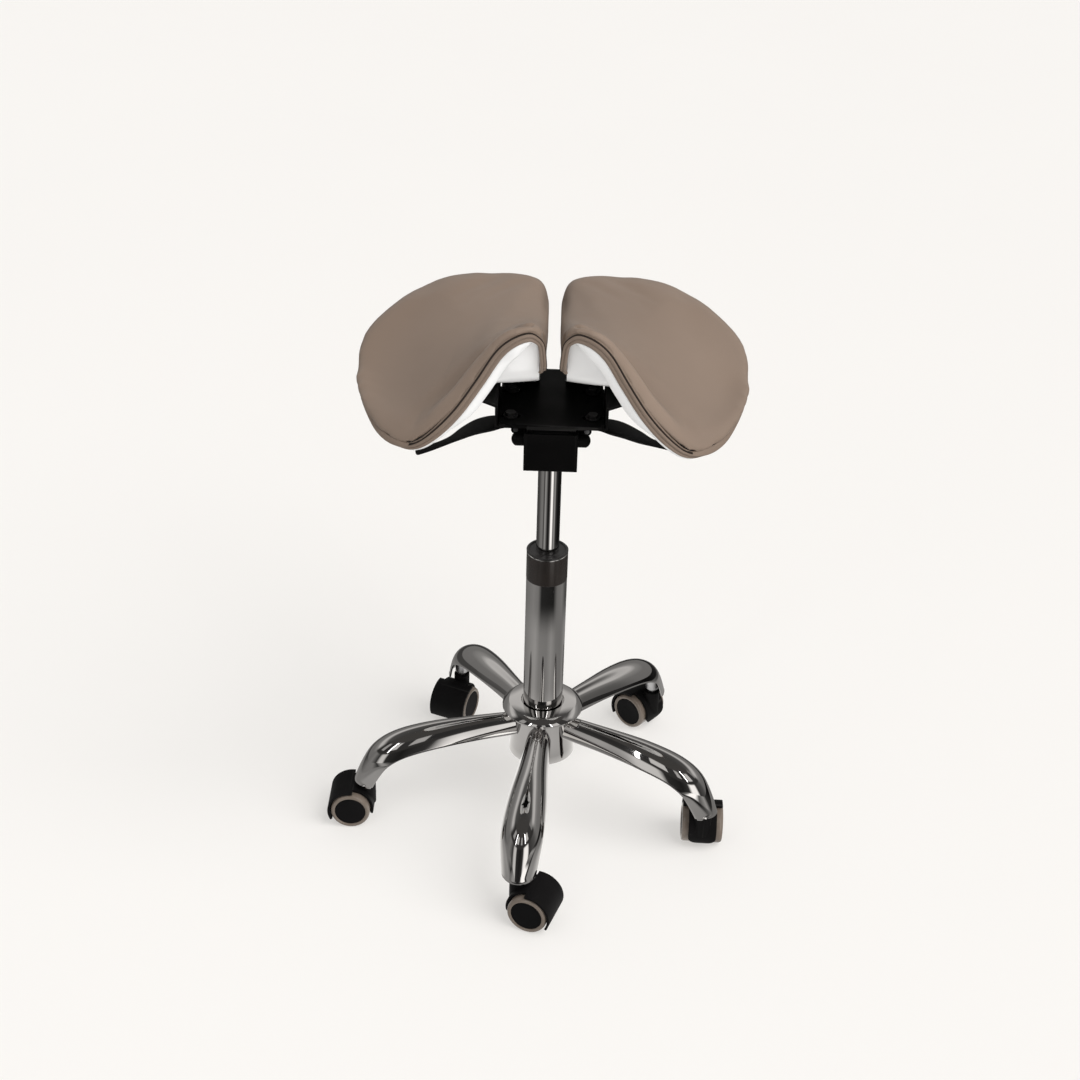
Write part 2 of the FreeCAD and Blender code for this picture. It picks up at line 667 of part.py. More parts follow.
def seat_plate():
    """Tilting plate with two lugs on the shaft and four cross slots."""
    outline = block((-PLATE_HALF_WIDTH, PLATE_HALF_WIDTH), (-PLATE_FRONT, PLATE_BACK),
                    (plate_bottom, plate_top))
    corners = [edge for edge in outline.Edges if edge.BoundBox.ZLength > PLATE_THICKNESS / 2]
    plate = outline.makeFillet(PLATE_CORNER, corners)
    tongue = block((-TONGUE_HALF_WIDTH, TONGUE_HALF_WIDTH), (-PLATE_TONGUE, 0),
                   (plate_bottom, plate_top))
    plate = plate.fuse(tongue)
    outer = HOUSING_WIDTH / 2 - HOUSING_WALL - LUG_GAP
    for side in (-1, 1):
        x_limits = sorted((side * outer, side * (outer - LUG_THICKNESS)))
        lug = block(x_limits, (-SHAFT_SETBACK - LUG_HALF_WIDTH, -SHAFT_SETBACK + LUG_HALF_WIDTH),
                    (shaft_height, plate_bottom))
        lug_end = bar(LUG_EYE_RADIUS, V(x_limits[0], -SHAFT_SETBACK, shaft_height),
                      LUG_THICKNESS, X_AXIS)
        plate = plate.fuse(lug.fuse(lug_end))
    plate = plate.cut(shaft_bar(SHAFT_RADIUS + RUNNING_FIT, HOUSING_WIDTH))
    for side in (-1, 1):
        for y in (SLOT_FRONT, SLOT_BACK):
            plate = plate.cut(slot(side * SLOT_MIDDLE, y))
    return plate.removeSplitter()


def slot(x, y):
    """Cross slot with round ends."""
    half = SLOT_LENGTH / 2 - SLOT_WIDTH / 2
    radius = SLOT_WIDTH / 2
    low, high = plate_bottom - OVERRUN, plate_top + OVERRUN
    middle = block((x - half, x + half), (y - radius, y + radius), (low, high))
    ends = cylinder(radius, low, high, x - half, y)
    return middle.fuse(ends).fuse(cylinder(radius, low, high, x + half, y))


def bracket_outline():
    """Points along the folded bracket in the XZ plane, from the foot to the wing."""
    sheet = BRACKET_SHEET
    foot_top = plate_bottom - SOFT_GAP
    web = PLATE_HALF_WIDTH + BRACKET_CLEARANCE
    web_top = foot_top + BRACKET_WEB_HEIGHT
    slope = math.atan2(BRACKET_WING_RISE, BRACKET_WING_REACH)
    fold = V(web + sheet, 0, web_top)
    end = fold + V(BRACKET_WING_REACH, 0, BRACKET_WING_RISE)
    upper_end = end + V(-math.sin(slope), 0, math.cos(slope)) * sheet
    upper_fold = V(web, 0, web_top + sheet / math.cos(slope) - sheet * math.tan(slope))
    foot = V(web - BRACKET_FOOT_REACH, 0, foot_top)
    corner = V(web, 0, foot_top)
    lower_corner = V(web + sheet, 0, foot_top - sheet)
    return foot, corner, upper_fold, upper_end, end, fold, lower_corner, foot - Z_AXIS * sheet


def bracket():
    """Folded sheet under and beside the plate that carries one half of the seat."""
    points = [point - Y_AXIS * BRACKET_FRONT for point in bracket_outline()]
    face = Part.Face(Part.makePolygon(points + [points[0]]))
    solid = face.extrude(V(0, BRACKET_FRONT + BRACKET_BACK, 0))
    foot_top = points[0].z
    for y in (SLOT_FRONT, SLOT_BACK):
        solid = solid.cut(cylinder(BOLT_RADIUS, 0, foot_top + OVERRUN, SLOT_MIDDLE, y))
    for start, direction in screw_places():
        hole = bar(SCREW_RADIUS, start - direction * OVERRUN, OVERRUN + OVERRUN, direction)
        solid = solid.cut(hole)
    return solid


def bracket_space():
    """Room in the shell for the bracket's web and wing."""
    foot, corner, upper_fold, upper_end, end = bracket_outline()[:5]
    room = V(SOFT_GAP, 0, SOFT_GAP)
    top_inner = upper_fold + V(-SOFT_GAP, 0, SOFT_GAP)
    top_outer = upper_end + room
    side = V(end.x + SOFT_GAP, 0, end.z)
    points = [V(top_inner.x, 0, 0), top_inner, top_outer, side, V(side.x, 0, 0)]
    points = [point - Y_AXIS * (BRACKET_FRONT + SOFT_GAP) for point in points]
    face = Part.Face(Part.makePolygon(points + [points[0]]))
    return face.extrude(V(0, BRACKET_FRONT + BRACKET_BACK + SOFT_GAP + SOFT_GAP, 0))


def screw_places():
    """Where the two seat screws pass the wing's lower face, and their direction."""
    end, fold = bracket_outline()[4:6]
    along = end - fold
    along.normalize()
    up = V(-along.z, 0, along.x)
    start = (end + fold) / 2 + Y_AXIS * (BRACKET_BACK - BRACKET_FRONT) / 2
    return [(start + Y_AXIS * (side * SCREW_SPACING / 2), up) for side in (-1, 1)]


def fasteners():
    """Two slot bolts with washers and nuts, and two seat screws, for one half."""
    foot_top = bracket_outline()[0].z
    pieces = []
    for y in (SLOT_FRONT, SLOT_BACK):
        washer_top = plate_top + SOFT_GAP + WASHER_THICKNESS
        head_top = washer_top + BOLT_HEAD_HEIGHT
        nut_bottom = foot_top - BRACKET_SHEET - NUT_HEIGHT
        shank = cylinder(BOLT_RADIUS, nut_bottom, washer_top, SLOT_MIDDLE, y)
        washer = cylinder(WASHER_RADIUS, washer_top - WASHER_THICKNESS, washer_top, SLOT_MIDDLE, y)
        head = hexagon(BOLT_HEAD_RADIUS, washer_top, head_top, SLOT_MIDDLE, y)
        nut = hexagon(BOLT_HEAD_RADIUS, nut_bottom, nut_bottom + NUT_HEIGHT, SLOT_MIDDLE, y)
        pieces.append(shank.fuse(washer).fuse(head).fuse(nut).removeSplitter())
    for start, direction in screw_places():
        head = bar(SCREW_HEAD_RADIUS, start - direction * SCREW_HEAD_HEIGHT, SCREW_HEAD_HEIGHT,
                   direction)
        shank = bar(SCREW_RADIUS, start, SCREW_LENGTH, direction)
        pieces.append(head.fuse(shank).removeSplitter())
    return Part.makeCompound(pieces)


def seat_station(shares):
    """Real sizes of one station across the seat half."""
    across, front, front_up, back, back_up, roll, back_roll, top, base = shares
    return {
        "x": across * SEAT_HALF_WIDTH,
        "front": V(0, front * SEAT_REACH, seat_low + front_up * SEAT_RISE),
        "back": V(0, back * SEAT_REACH, seat_low + back_up * SEAT_RISE),
        "front_roll": roll * ROLL_HEIGHT,
        "back_roll": back_roll * ROLL_HEIGHT,
        "top": seat_low + top * SEAT_RISE,
        "base": seat_low + base * SEAT_RISE,
    }


def station_wire(x, edges):
    wire = Part.Wire(edges)
    wire.translate(V(x, 0, 0))
    return wire


def pad_wire(shares):
    """Section of the pad: border band, front roll, saddle top, back roll and base."""
    s = seat_station(shares)
    front, back = s["front"], s["back"]
    rise, back_rise = s["front_roll"], s["back_roll"]
    drop = Z_AXIS * (BORDER_HEIGHT - SOFT_GAP)
    front_crest = front + V(0, rise * FRONT_RUN_SHARE, rise)
    back_crest = back + V(0, -back_rise * BACK_RUN_SHARE, back_rise)
    front_swell = front + V(0, rise * ROLL_SWELL_SHARE, rise * ROLL_LIFT_SHARE)
    back_swell = back + V(0, -back_rise * ROLL_SWELL_SHARE, back_rise * ROLL_LIFT_SHARE)
    top = V(0, (front_crest.y + back_crest.y) / 2, s["top"])
    base = V(0, (front.y + back.y) / 2, s["base"]) - drop
    return station_wire(s["x"], (
        line(front - drop, front),
        arc(front, front_swell, front_crest),
        arc(front_crest, top, back_crest),
        arc(back_crest, back_swell, back),
        line(back, back - drop),
        line(back - drop, base),
        line(base, front - drop),
    ))


def pad():
    """Upholstered pad of one half, drawn in at the seam above its border band."""
    return Part.makeLoft([pad_wire(row) for row in SEAT_SHARES], True, True)


def inward(s, inset):
    """Front and back points set in along the base line, and its middle point."""
    middle = V(0, (s["front"].y + s["back"].y) / 2, s["base"])
    part = inset / (middle.y - s["front"].y)
    front = s["front"] + (middle - s["front"]) * part
    back = s["back"] + (middle - s["back"]) * part
    return front, middle, back


def tray_wire(shares):
    """Section of the shell's tray, which follows the base of the pad."""
    s = seat_station(shares)
    drop = Z_AXIS * BORDER_HEIGHT
    rim = Z_AXIS * SHELL_RIM_HEIGHT
    front, middle, back = [point - drop for point in inward(s, SHELL_RIM_INSET)]
    below = middle - Z_AXIS * SHELL_THICKNESS
    points = [front - rim, front, middle, back, back - rim, below]
    return station_wire(s["x"], Part.makePolygon(points + [points[0]]).Edges)


def tray():
    """Upper part of the shell, with the rim that shows under the border."""
    return Part.makeLoft([tray_wire(row) for row in SEAT_SHARES], True, True)


def between(shares):
    """Station at any place across the half, worked out from its neighbours."""
    for near, far in zip(SEAT_SHARES, SEAT_SHARES[1:]):
        if near[0] <= shares <= far[0]:
            part = (shares - near[0]) / (far[0] - near[0])
            return tuple(a + (b - a) * part for a, b in zip(near, far))
    return SEAT_SHARES[0]


def hull_wire(shares):
    """Section of the hull between the tray and the plate."""
    across, lift = shares
    s = seat_station(between(across))
    depth = Z_AXIS * (BORDER_HEIGHT + SHELL_THICKNESS / 2)
    front, middle, back = [point - depth for point in inward(s, HULL_RIM_DISTANCE)]
    foot = plate_top + SOFT_GAP
    foot_height = foot + lift * (middle.z - foot)
    foot_front = V(0, HULL_FRONT - lift * HULL_FRONT, foot_height)
    foot_back = V(0, HULL_BACK, foot_height)
    points = [foot_front, front, middle, back, foot_back]
    return station_wire(s["x"], Part.makePolygon(points + [points[0]]).Edges)


def shell():
    """White shell of one half: tray, hull and the two screw bosses."""
    hull = Part.makeLoft([hull_wire(row) for row in HULL_SHARES], True, True)
    body = tray().fuse(hull).cut(bracket_space())
    for start, direction in screw_places():
        seat = start + direction * BRACKET_SHEET
        body = body.fuse(bar(BOSS_RADIUS, seat, SCREW_LENGTH + SCREW_LENGTH, direction))
        body = body.cut(bar(SCREW_RADIUS, seat - direction * OVERRUN,
                            OVERRUN + SCREW_LENGTH - BRACKET_SHEET, direction))
    return body


def main():
    os.makedirs("parts", exist_ok=True)
    save("lift_outer_tube", lift_tube())
    save("lift_guide_bush", guide_bush())
    save("lift_piston_rod", rod_and_piston())
    save("lift_thrust_bearing", thrust_bearing())
    save("lift_piston_tube", piston_tube())
    save("lift_rod_seal", rod_seal())
    save("lift_release_pin", release_pin())
    save("base_hub", hub())

    one_arm = arm()
    one_socket = socket(one_arm)
    places = caster_places()
    save("base_arms", Part.makeCompound([turned(one_arm, angle) for angle, swivel in places]))
    sockets = [turned(one_socket, angle) for angle, swivel in places]
    save("base_caster_sockets", Part.makeCompound(sockets))

    one_wheel = wheel()
    other_wheel = one_wheel.mirror(ORIGIN, Y_AXIS)
    pieces = {"hood": hood(), "pins": caster_pins(), "wheel_a": one_wheel, "wheel_b": other_wheel}
    for number, (angle, swivel) in enumerate(places, 1):
        x = caster_circle_radius * math.cos(math.radians(angle))
        y = caster_circle_radius * math.sin(math.radians(angle))
        for name, piece in pieces.items():
            save("caster_%d_%s" % (number, name), turned(piece, swivel, x, y))

    save("tilt_housing", housing())
    save("tilt_column_socket", taper_socket())
    save("tilt_pivot_shaft", pivot_shaft())
    save("tilt_spring_sleeve", spring_sleeve())
    save("tilt_lever_pins", lever_pins())
    save("tilt_seat_plate", seat_plate())
    save("lever_right", lever(-RELEASE_PIN_RADIUS + RUNNING_FIT))
    save("lever_left", mirrored(lever(HOUSING_WIDTH / 2)))

    halves = {"bracket": bracket(), "fasteners": fasteners(), "shell": shell(),
              "pad": pad()}
    for name, piece in halves.items():
        save("seat_right_" + name, piece)
        save("seat_left_" + name, mirrored(piece))


main()
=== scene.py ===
# %% [markdown]
# # A split saddle stool
#
# This lesson dresses the finished CAD model of a saddle stool. The CAD model is
# the skeleton: it fixes every size and every joint. What follows gives each
# visible piece the shape and finish of the real one, from the chrome star base
# up to the two upholstered halves of the seat. Lengths are in metres. Only the
# outlines of turned pieces and the profiles round the seat are in millimetres.

import json
import math

import bpy
from mathutils import Matrix, Vector
from mathutils.kdtree import KDTree


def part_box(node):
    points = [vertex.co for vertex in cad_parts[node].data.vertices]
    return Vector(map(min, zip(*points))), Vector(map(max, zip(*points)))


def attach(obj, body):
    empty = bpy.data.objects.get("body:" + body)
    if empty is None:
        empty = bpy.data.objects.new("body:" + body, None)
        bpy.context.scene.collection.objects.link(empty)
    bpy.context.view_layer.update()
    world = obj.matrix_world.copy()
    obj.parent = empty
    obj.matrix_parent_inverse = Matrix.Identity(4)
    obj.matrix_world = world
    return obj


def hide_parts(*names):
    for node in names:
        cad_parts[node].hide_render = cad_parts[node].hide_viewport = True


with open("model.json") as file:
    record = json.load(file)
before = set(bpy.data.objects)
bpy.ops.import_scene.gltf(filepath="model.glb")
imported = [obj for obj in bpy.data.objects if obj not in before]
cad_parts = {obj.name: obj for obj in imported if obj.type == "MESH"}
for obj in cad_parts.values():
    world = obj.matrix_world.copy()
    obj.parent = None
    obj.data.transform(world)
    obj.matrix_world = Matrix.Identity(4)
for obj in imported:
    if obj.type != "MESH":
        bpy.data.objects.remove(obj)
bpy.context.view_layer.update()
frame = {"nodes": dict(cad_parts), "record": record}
MM = 0.001

# %% [markdown]
# ## The camera
#
# The photograph was taken by a standing person: the lens is about one and a half
# metres up and looks down at the stool by some thirty degrees. A camera can be
# turned by its three axes. Here they are worked out from pan, tilt and roll,
# because those three are easy to compare with the horizon of a photograph.

# %% Set the camera
CAMERA_PLACE = Vector((-0.0002, -1.8438, 1.4835))
LENS, SENSOR_WIDTH = 59.2, 36
PAN, TILT, ROLL = math.radians(-0.286), math.radians(30.59), math.radians(1.67)

ahead = Vector((math.sin(PAN) * math.cos(TILT), math.cos(PAN) * math.cos(TILT), -math.sin(TILT)))
level = Vector((math.cos(PAN), -math.sin(PAN), 0))
above = level.cross(ahead)
right = math.cos(ROLL) * level + math.sin(ROLL) * above
up = math.cos(ROLL) * above - math.sin(ROLL) * level

bpy.ops.object.camera_add(location=CAMERA_PLACE)
camera = bpy.context.active_object
camera.name = "photo_camera"
turn = Matrix((right, up, -ahead)).transposed().to_4x4()
camera.matrix_world = Matrix.Translation(CAMERA_PLACE) @ turn
camera.data.lens, camera.data.sensor_width = LENS, SENSOR_WIDTH
bpy.context.scene.camera = camera
bpy.context.scene.view_settings.view_transform = "Standard"
print("camera looks along", [round(value, 3) for value in ahead])

# %% [markdown]
# ## Helpers for modelling
#
# An operator works on whatever is selected, so a piece is picked before it is
# changed. These small helpers do what a hand would do: start from a primitive,
# shape it in edit mode, and finish it with modifiers.

# %% Selection and finishing helpers
def pick_only(piece):
    """Make one piece the only selected and active one."""
    bpy.ops.object.select_all(action="DESELECT")
    piece.select_set(True)
    bpy.context.view_layer.objects.active = piece


def named_active(name):
    """The piece that was just added, under its own name."""
    piece = bpy.context.active_object
    piece.name = piece.data.name = name
    return piece


def edit_all(piece):
    """Open a piece in edit mode with all of it selected."""
    pick_only(piece)
    bpy.ops.object.mode_set(mode="EDIT")
    bpy.ops.mesh.select_all(action="SELECT")


def close_edit(angle=32):
    """Leave edit mode and smooth every edge that is flatter than an angle."""
    bpy.ops.object.mode_set(mode="OBJECT")
    bpy.ops.object.shade_smooth_by_angle(angle=math.radians(angle))


def apply_modifier(piece, kind, **settings):
    """Add one modifier, set it and apply it."""
    pick_only(piece)
    modifier = piece.modifiers.new(kind.title(), kind)
    for name, value in settings.items():
        setattr(modifier, name, value)
    bpy.ops.object.modifier_apply(modifier=modifier.name)


def round_edges(piece, width, segments=3, angle=32):
    """Bevel the edges that are sharper than an angle."""
    apply_modifier(piece, "BEVEL", width=width, segments=segments, limit_method="ANGLE",
                   angle_limit=math.radians(angle), harden_normals=False)
    bpy.ops.object.shade_smooth_by_angle(angle=math.radians(40))


def eased(value, low, high):
    """Smooth step from 0 at the low value to 1 at the high one."""
    share = min(1.0, max(0.0, (value - low) / (high - low)))
    return share * share * (3 - 2 * share)


def own_copy(piece, name):
    """Copy a piece with a mesh of its own."""
    copy = bpy.data.objects.new(name, piece.data.copy())
    copy.data.name = name
    bpy.context.scene.collection.objects.link(copy)
    return copy


def place(piece, matrix):
    """Put a piece where a matrix says, with the place in its mesh."""
    piece.data.transform(matrix)
    if matrix.determinant() < 0:
        piece.data.flip_normals()
    return piece


def dress(piece, body, material, slot, *nodes):
    """Give a piece its finish, tie it to its body and hide what it stands for."""
    piece.data.materials.clear()
    piece.data.materials.append(material)
    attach(piece, body)
    if nodes:
        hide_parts(*nodes)
    return piece


def body_of(node):
    """Name of the body that a CAD node rides on."""
    for body, nodes in frame["record"]["behaviour"]["bodies"].items():
        if node in nodes:
            return body


# %% [markdown]
# A lathe piece is a ring that is pulled from point to point of its outline. In
# edit mode that is an extrude followed by a scale, over and over. Grids and
# sleeves start as a plane grid whose points are then laid where they belong,
# like a sheet over a former.

# %% Lathe and grid helpers
TOUCHING = 0.000002


def close_holes():
    """Fill the open edge loops of the piece that is in edit mode."""
    bpy.ops.mesh.select_all(action="DESELECT")
    bpy.ops.mesh.select_non_manifold(extend=False)
    bpy.ops.mesh.fill_holes(sides=0)
    bpy.ops.mesh.select_all(action="SELECT")


def lathe(name, outline, segments=96, closed=True):
    """Ring extruded through (radius, height) points in millimetres."""
    outline = [(radius * MM, height * MM) for radius, height in outline]
    if closed:
        outline.append(outline[0])
    radius, height = outline[0]
    bpy.ops.mesh.primitive_circle_add(vertices=segments, radius=radius, location=(0, 0, height))
    piece = named_active(name)
    bpy.ops.object.transform_apply(location=True, rotation=False, scale=False)
    edit_all(piece)
    for (before, low), (after, high) in zip(outline, outline[1:]):
        bpy.ops.mesh.extrude_region_move(TRANSFORM_OT_translate={"value": (0, 0, high - low)})
        share = after / before
        bpy.ops.transform.resize(value=(share, share, 1))
    bpy.ops.mesh.select_all(action="SELECT")
    bpy.ops.mesh.remove_doubles(threshold=TOUCHING)
    if not closed:
        close_holes()
    bpy.ops.mesh.normals_make_consistent(inside=False)
    close_edit()
    return piece


def laid_grid(name, rows, wrap=False, caps=False):
    """Plane grid laid over rows of points; wrapped into a sleeve and capped if asked."""
    across, along = len(rows[0]), len(rows)
    bpy.ops.mesh.primitive_grid_add(x_subdivisions=across - 1, y_subdivisions=along - 1, size=1)
    piece = named_active(name)
    points = [point for row in rows for point in row]
    for vertex, point in zip(piece.data.vertices, points):
        vertex.co = point
    edit_all(piece)
    if wrap:
        bpy.ops.mesh.remove_doubles(threshold=TOUCHING)
    if caps:
        close_holes()
    bpy.ops.mesh.normals_make_consistent(inside=False)
    close_edit(50)
    return piece


def refined(node, name, width, segments=2):
    """Merged copy of a CAD solid with rounded edges."""
    piece = own_copy(frame["nodes"][node], name)
    edit_all(piece)
    bpy.ops.mesh.remove_doubles(threshold=TOUCHING)
    bpy.ops.mesh.dissolve_limited(angle_limit=math.radians(0.5))
    close_edit()
    round_edges(piece, width, segments, 30)
    return piece


def smooth_rows(rows, count):
    """Rows of numbers resampled on a smooth curve through all of them."""
    result = []
    for step in range(count):
        spot = step / (count - 1) * (len(rows) - 1)
        index = min(int(spot), len(rows) - 2)
        t = spot - index
        four = [rows[max(index - 1, 0)], rows[index], rows[index + 1],
                rows[min(index + 2, len(rows) - 1)]]
        result.append(tuple(
            0.5 * (2 * b + (c - a) * t + (2 * a - 5 * b + 4 * c - d) * t * t
                   + (3 * b - a - 3 * c + d) * t ** 3)
            for a, b, c, d in zip(*four)))
    return result


def averaged(run, times=1, closed=False):
    """Each value averaged with its neighbours; an open run keeps its two ends."""
    for _ in range(times):
        if closed:
            run = run[-1:] + run + run[:1]
        middle = [(a + b * 2 + c) / 4 for a, b, c in zip(run, run[1:], run[2:])]
        run = middle if closed else run[:1] + middle + run[-1:]
    return run


# %% [markdown]
# ## Effects that several finishes share
#
# A node group is a small tool that can be used in many materials, each time
# with other numbers. Three are made here: a fine grain for bumps, worn edges,
# and the faint cloudy marks that hands and dust leave on any surface.

# %% Node helpers
def fill(node, **values):
    """Set inputs, or else settings, of a node. A _ in an input's name stands for a space."""
    for name, value in values.items():
        label = name.replace("_", " ")
        if label in node.inputs:
            node.inputs[label].default_value = value
        else:
            setattr(node, name, value)
    return node


def add_node(tree, kind, **values):
    """New node with some of its settings and inputs filled in."""
    return fill(tree.nodes.new(kind), **values)


def wire(tree, *links):
    """Link sockets, each pair given as (node, output, node, input)."""
    for source, output, target, entrance in links:
        tree.links.new(source.outputs[output], target.inputs[entrance])


def start_group(name, outcome, **inputs):
    """Empty shader group with named number inputs and one output."""
    group = bpy.data.node_groups.new(name, "ShaderNodeTree")
    for label, value in inputs.items():
        socket = group.interface.new_socket(label, in_out="INPUT", socket_type="NodeSocketFloat")
        socket.default_value = value
    group.interface.new_socket(outcome, in_out="OUTPUT", socket_type="NodeSocketFloat")
    return group, add_node(group, "NodeGroupInput"), add_node(group, "NodeGroupOutput")


# %% Grain, wear and cloud groups
grain, entry, leave = start_group("surface_grain", "Height", Scale=900.0, Fine=0.5)
spot = add_node(grain, "ShaderNodeTexCoord")
cells = add_node(grain, "ShaderNodeTexVoronoi", feature="SMOOTH_F1", Smoothness=0.35)
flecks = add_node(grain, "ShaderNodeTexNoise", Detail=3.0)
blend = add_node(grain, "ShaderNodeMix", data_type="FLOAT")
wire(grain, (spot, "Object", cells, "Vector"), (spot, "Object", flecks, "Vector"),
     (entry, "Scale", cells, "Scale"), (entry, "Scale", flecks, "Scale"),
     (entry, "Fine", blend, "Factor"), (cells, "Distance", blend, "A"),
     (flecks, "Fac", blend, "B"), (blend, "Result", leave, "Height"))

wear, entry, leave = start_group("edge_wear", "Mask", Start=0.53, End=0.6)
shape = add_node(wear, "ShaderNodeNewGeometry")
ramp = add_node(wear, "ShaderNodeMapRange", clamp=True)
wire(wear, (shape, "Pointiness", ramp, "Value"), (entry, "Start", ramp, "From Min"),
     (entry, "End", ramp, "From Max"), (ramp, "Result", leave, "Mask"))

cloud, entry, leave = start_group("cloudy_marks", "Value", Scale=9.0, Low=0.0, High=1.0)
spot = add_node(cloud, "ShaderNodeTexCoord")
puffs = add_node(cloud, "ShaderNodeTexNoise", Detail=4.0, Roughness=0.55)
ramp = add_node(cloud, "ShaderNodeMapRange", clamp=True, From_Min=0.3, From_Max=0.7)
wire(cloud, (spot, "Object", puffs, "Vector"), (entry, "Scale", puffs, "Scale"),
     (puffs, "Fac", ramp, "Value"), (entry, "Low", ramp, "To Min"),
     (entry, "High", ramp, "To Max"), (ramp, "Result", leave, "Value"))
print("groups", [group.name for group in (grain, wear, cloud)])

# %% [markdown]
# ## The finishes
#
# Every finish follows the same recipe. Two close tones are mixed by the cloud
# group, roughness drifts a little between two values, and the grain group
# raises a fine bump. What changes from leather to steel to moulded plastic is
# the size of the grain and how much the edges have worn.

# %% One recipe for all finishes
WEAR_START, WEAR_END, DULL_SCALE = 0.53, 0.61, 2.3


def use_group(tree, group, **values):
    """Group node with its inputs filled in."""
    return add_node(tree, "ShaderNodeGroup", node_tree=group, **values)


def clouded(tree, scale, tone, deep_tone):
    """Node that mixes two tones by the cloud group."""
    mix = add_node(tree, "ShaderNodeMix", data_type="RGBA", A=(*deep_tone, 1), B=(*tone, 1))
    wire(tree, (use_group(tree, cloud, Scale=scale), "Value", mix, "Factor"))
    return mix


def finish(name, tone, deep_tone, rough, clouds, grit, worn_tone=None, depth=0.0002,
           **shader_values):
    """Material with clouded colour and roughness, grain bump and worn edges.

    The grit gives the scale of the grain, its share of fine flecks and the
    strength of the bump.
    """
    grain_scale, fine, bump = grit
    material = bpy.data.materials.new(name)
    material.use_nodes = True
    tree = material.node_tree
    shader = fill(tree.nodes["Principled BSDF"], **shader_values)
    colour = clouded(tree, clouds, tone, deep_tone)
    if worn_tone:
        edges = use_group(tree, wear, Start=WEAR_START, End=WEAR_END)
        rub = add_node(tree, "ShaderNodeMix", data_type="RGBA", B=(*worn_tone, 1))
        wire(tree, (edges, "Mask", rub, "Factor"), (colour, "Result", rub, "A"))
        colour = rub
    dull = use_group(tree, cloud, Scale=clouds * DULL_SCALE, Low=rough[0], High=rough[1])
    relief = use_group(tree, grain, Scale=grain_scale, Fine=fine)
    raised = add_node(tree, "ShaderNodeBump", Strength=bump, Distance=depth)
    wire(tree, (colour, "Result", shader, "Base Color"), (dull, "Value", shader, "Roughness"),
         (relief, "Height", raised, "Height"), (raised, "Normal", shader, "Normal"))
    return material


def paint_roll_light_and_shade(material, amount):
    """Lighten a finish as a painted highlight on the roll's crest, darken it as painted shade in
    the valley.
    """
    tree = material.node_tree
    shader = tree.nodes["Principled BSDF"]
    colour = shader.inputs["Base Color"].links[0].from_node
    mark = add_node(tree, "ShaderNodeAttribute", attribute_name="roll_light_and_shade")
    gain = add_node(tree, "ShaderNodeMath", operation="MULTIPLY_ADD")
    gain.inputs[1].default_value, gain.inputs[2].default_value = amount, 1.0
    scaled = add_node(tree, "ShaderNodeVectorMath", operation="SCALE")
    wire(tree, (mark, "Fac", gain, 0), (colour, "Result", scaled, "Vector"),
         (gain, "Value", scaled, "Scale"), (scaled, "Vector", shader, "Base Color"))


# %% Leather, plastics, rubber and metals
WORN_BLACK, DEEP_BLACK = (0.02, 0.0195, 0.019), (0.004, 0.004, 0.004)
leather = finish(
    "taupe_leather", (0.238, 0.177, 0.136), (0.221, 0.164, 0.126), (0.42, 0.5), 7,
    (1500, 0.25, 0.16), depth=0.00025, Sheen_Weight=0.08, Sheen_Roughness=0.5)
# Painted light on the leather: a painted highlight on the roll's crest and painted shade in the
# valley behind it.
paint_roll_light_and_shade(leather, 0.18)
band_leather = finish(
    "taupe_band_leather", (0.220, 0.163, 0.125), (0.202, 0.150, 0.115), (0.42, 0.5), 9,
    (1700, 0.25, 0.14), Sheen_Weight=0.06, Sheen_Roughness=0.5)
# A near-black cord laid in the seam as painted shade. It stands for the shadow in the seam groove.
seam_shadow_brown = finish(
    "painted_seam_shadow", (0.030, 0.022, 0.018), (0.020, 0.015, 0.012), (0.6, 0.7), 20,
    (1500, 0.5, 0.1), Specular_IOR_Level=0.2)
shell_white = finish(
    "white_shell", (0.86, 0.865, 0.87), (0.83, 0.835, 0.84), (0.12, 0.2), 5, (300, 1, 0.02),
    Coat_Weight=0.35, Coat_Roughness=0.05)
chrome = finish(
    "polished_chrome", (0.57, 0.56, 0.55), (0.52, 0.51, 0.50), (0.03, 0.06), 14, (260, 1, 0.008),
    Metallic=1)
rod_steel = finish(
    "ground_rod_steel", (0.50, 0.51, 0.53), (0.42, 0.43, 0.45), (0.12, 0.18), 16, (700, 1, 0.02),
    Metallic=1)
smoke_film = finish(
    "smoky_band_film", (0.036, 0.029, 0.026), (0.026, 0.022, 0.020), (0.14, 0.22), 20,
    (500, 1, 0.03), Metallic=0.3)
powder_black = finish(
    "black_powder_coat", (0.004, 0.0038, 0.0038), (0.0025, 0.0025, 0.0025), (0.34, 0.46), 12,
    (1100, 0.8, 0.12), WORN_BLACK, 0.00015, Specular_IOR_Level=0.15, IOR=1.22)
moulded_black = finish(
    "black_moulding", (0.007, 0.0065, 0.0068), DEEP_BLACK, (0.5, 0.62), 15, (1600, 0.6, 0.2),
    WORN_BLACK, Specular_IOR_Level=0.2, IOR=1.3)
disc_black = finish(
    "black_wheel_disc", (0.0065, 0.006, 0.0065), DEEP_BLACK, (0.55, 0.65), 20, (1500, 0.6, 0.12),
    Specular_IOR_Level=0.18, IOR=1.3)
bush_black = finish(
    "black_bush", (0.020, 0.019, 0.019), (0.013, 0.012, 0.012), (0.3, 0.4), 30, (1200, 0.6, 0.1))
tyre_grey = finish(
    "tyre_grey", (0.185, 0.152, 0.125), (0.160, 0.130, 0.106), (0.16, 0.24), 26, (900, 0.8, 0.04),
    Coat_Weight=0.25, Coat_Roughness=0.12)
bolt_black = finish(
    "black_bolts", (0.014, 0.0135, 0.013), (0.008, 0.008, 0.008), (0.3, 0.4), 40,
    (800, 0.7, 0.08), (0.035, 0.034, 0.033), Metallic=0.2, Specular_IOR_Level=0.25)
zinc = finish(
    "zinc_socket", (0.50, 0.50, 0.50), (0.40, 0.40, 0.41), (0.28, 0.4), 40, (700, 0.7, 0.08),
    Metallic=1)
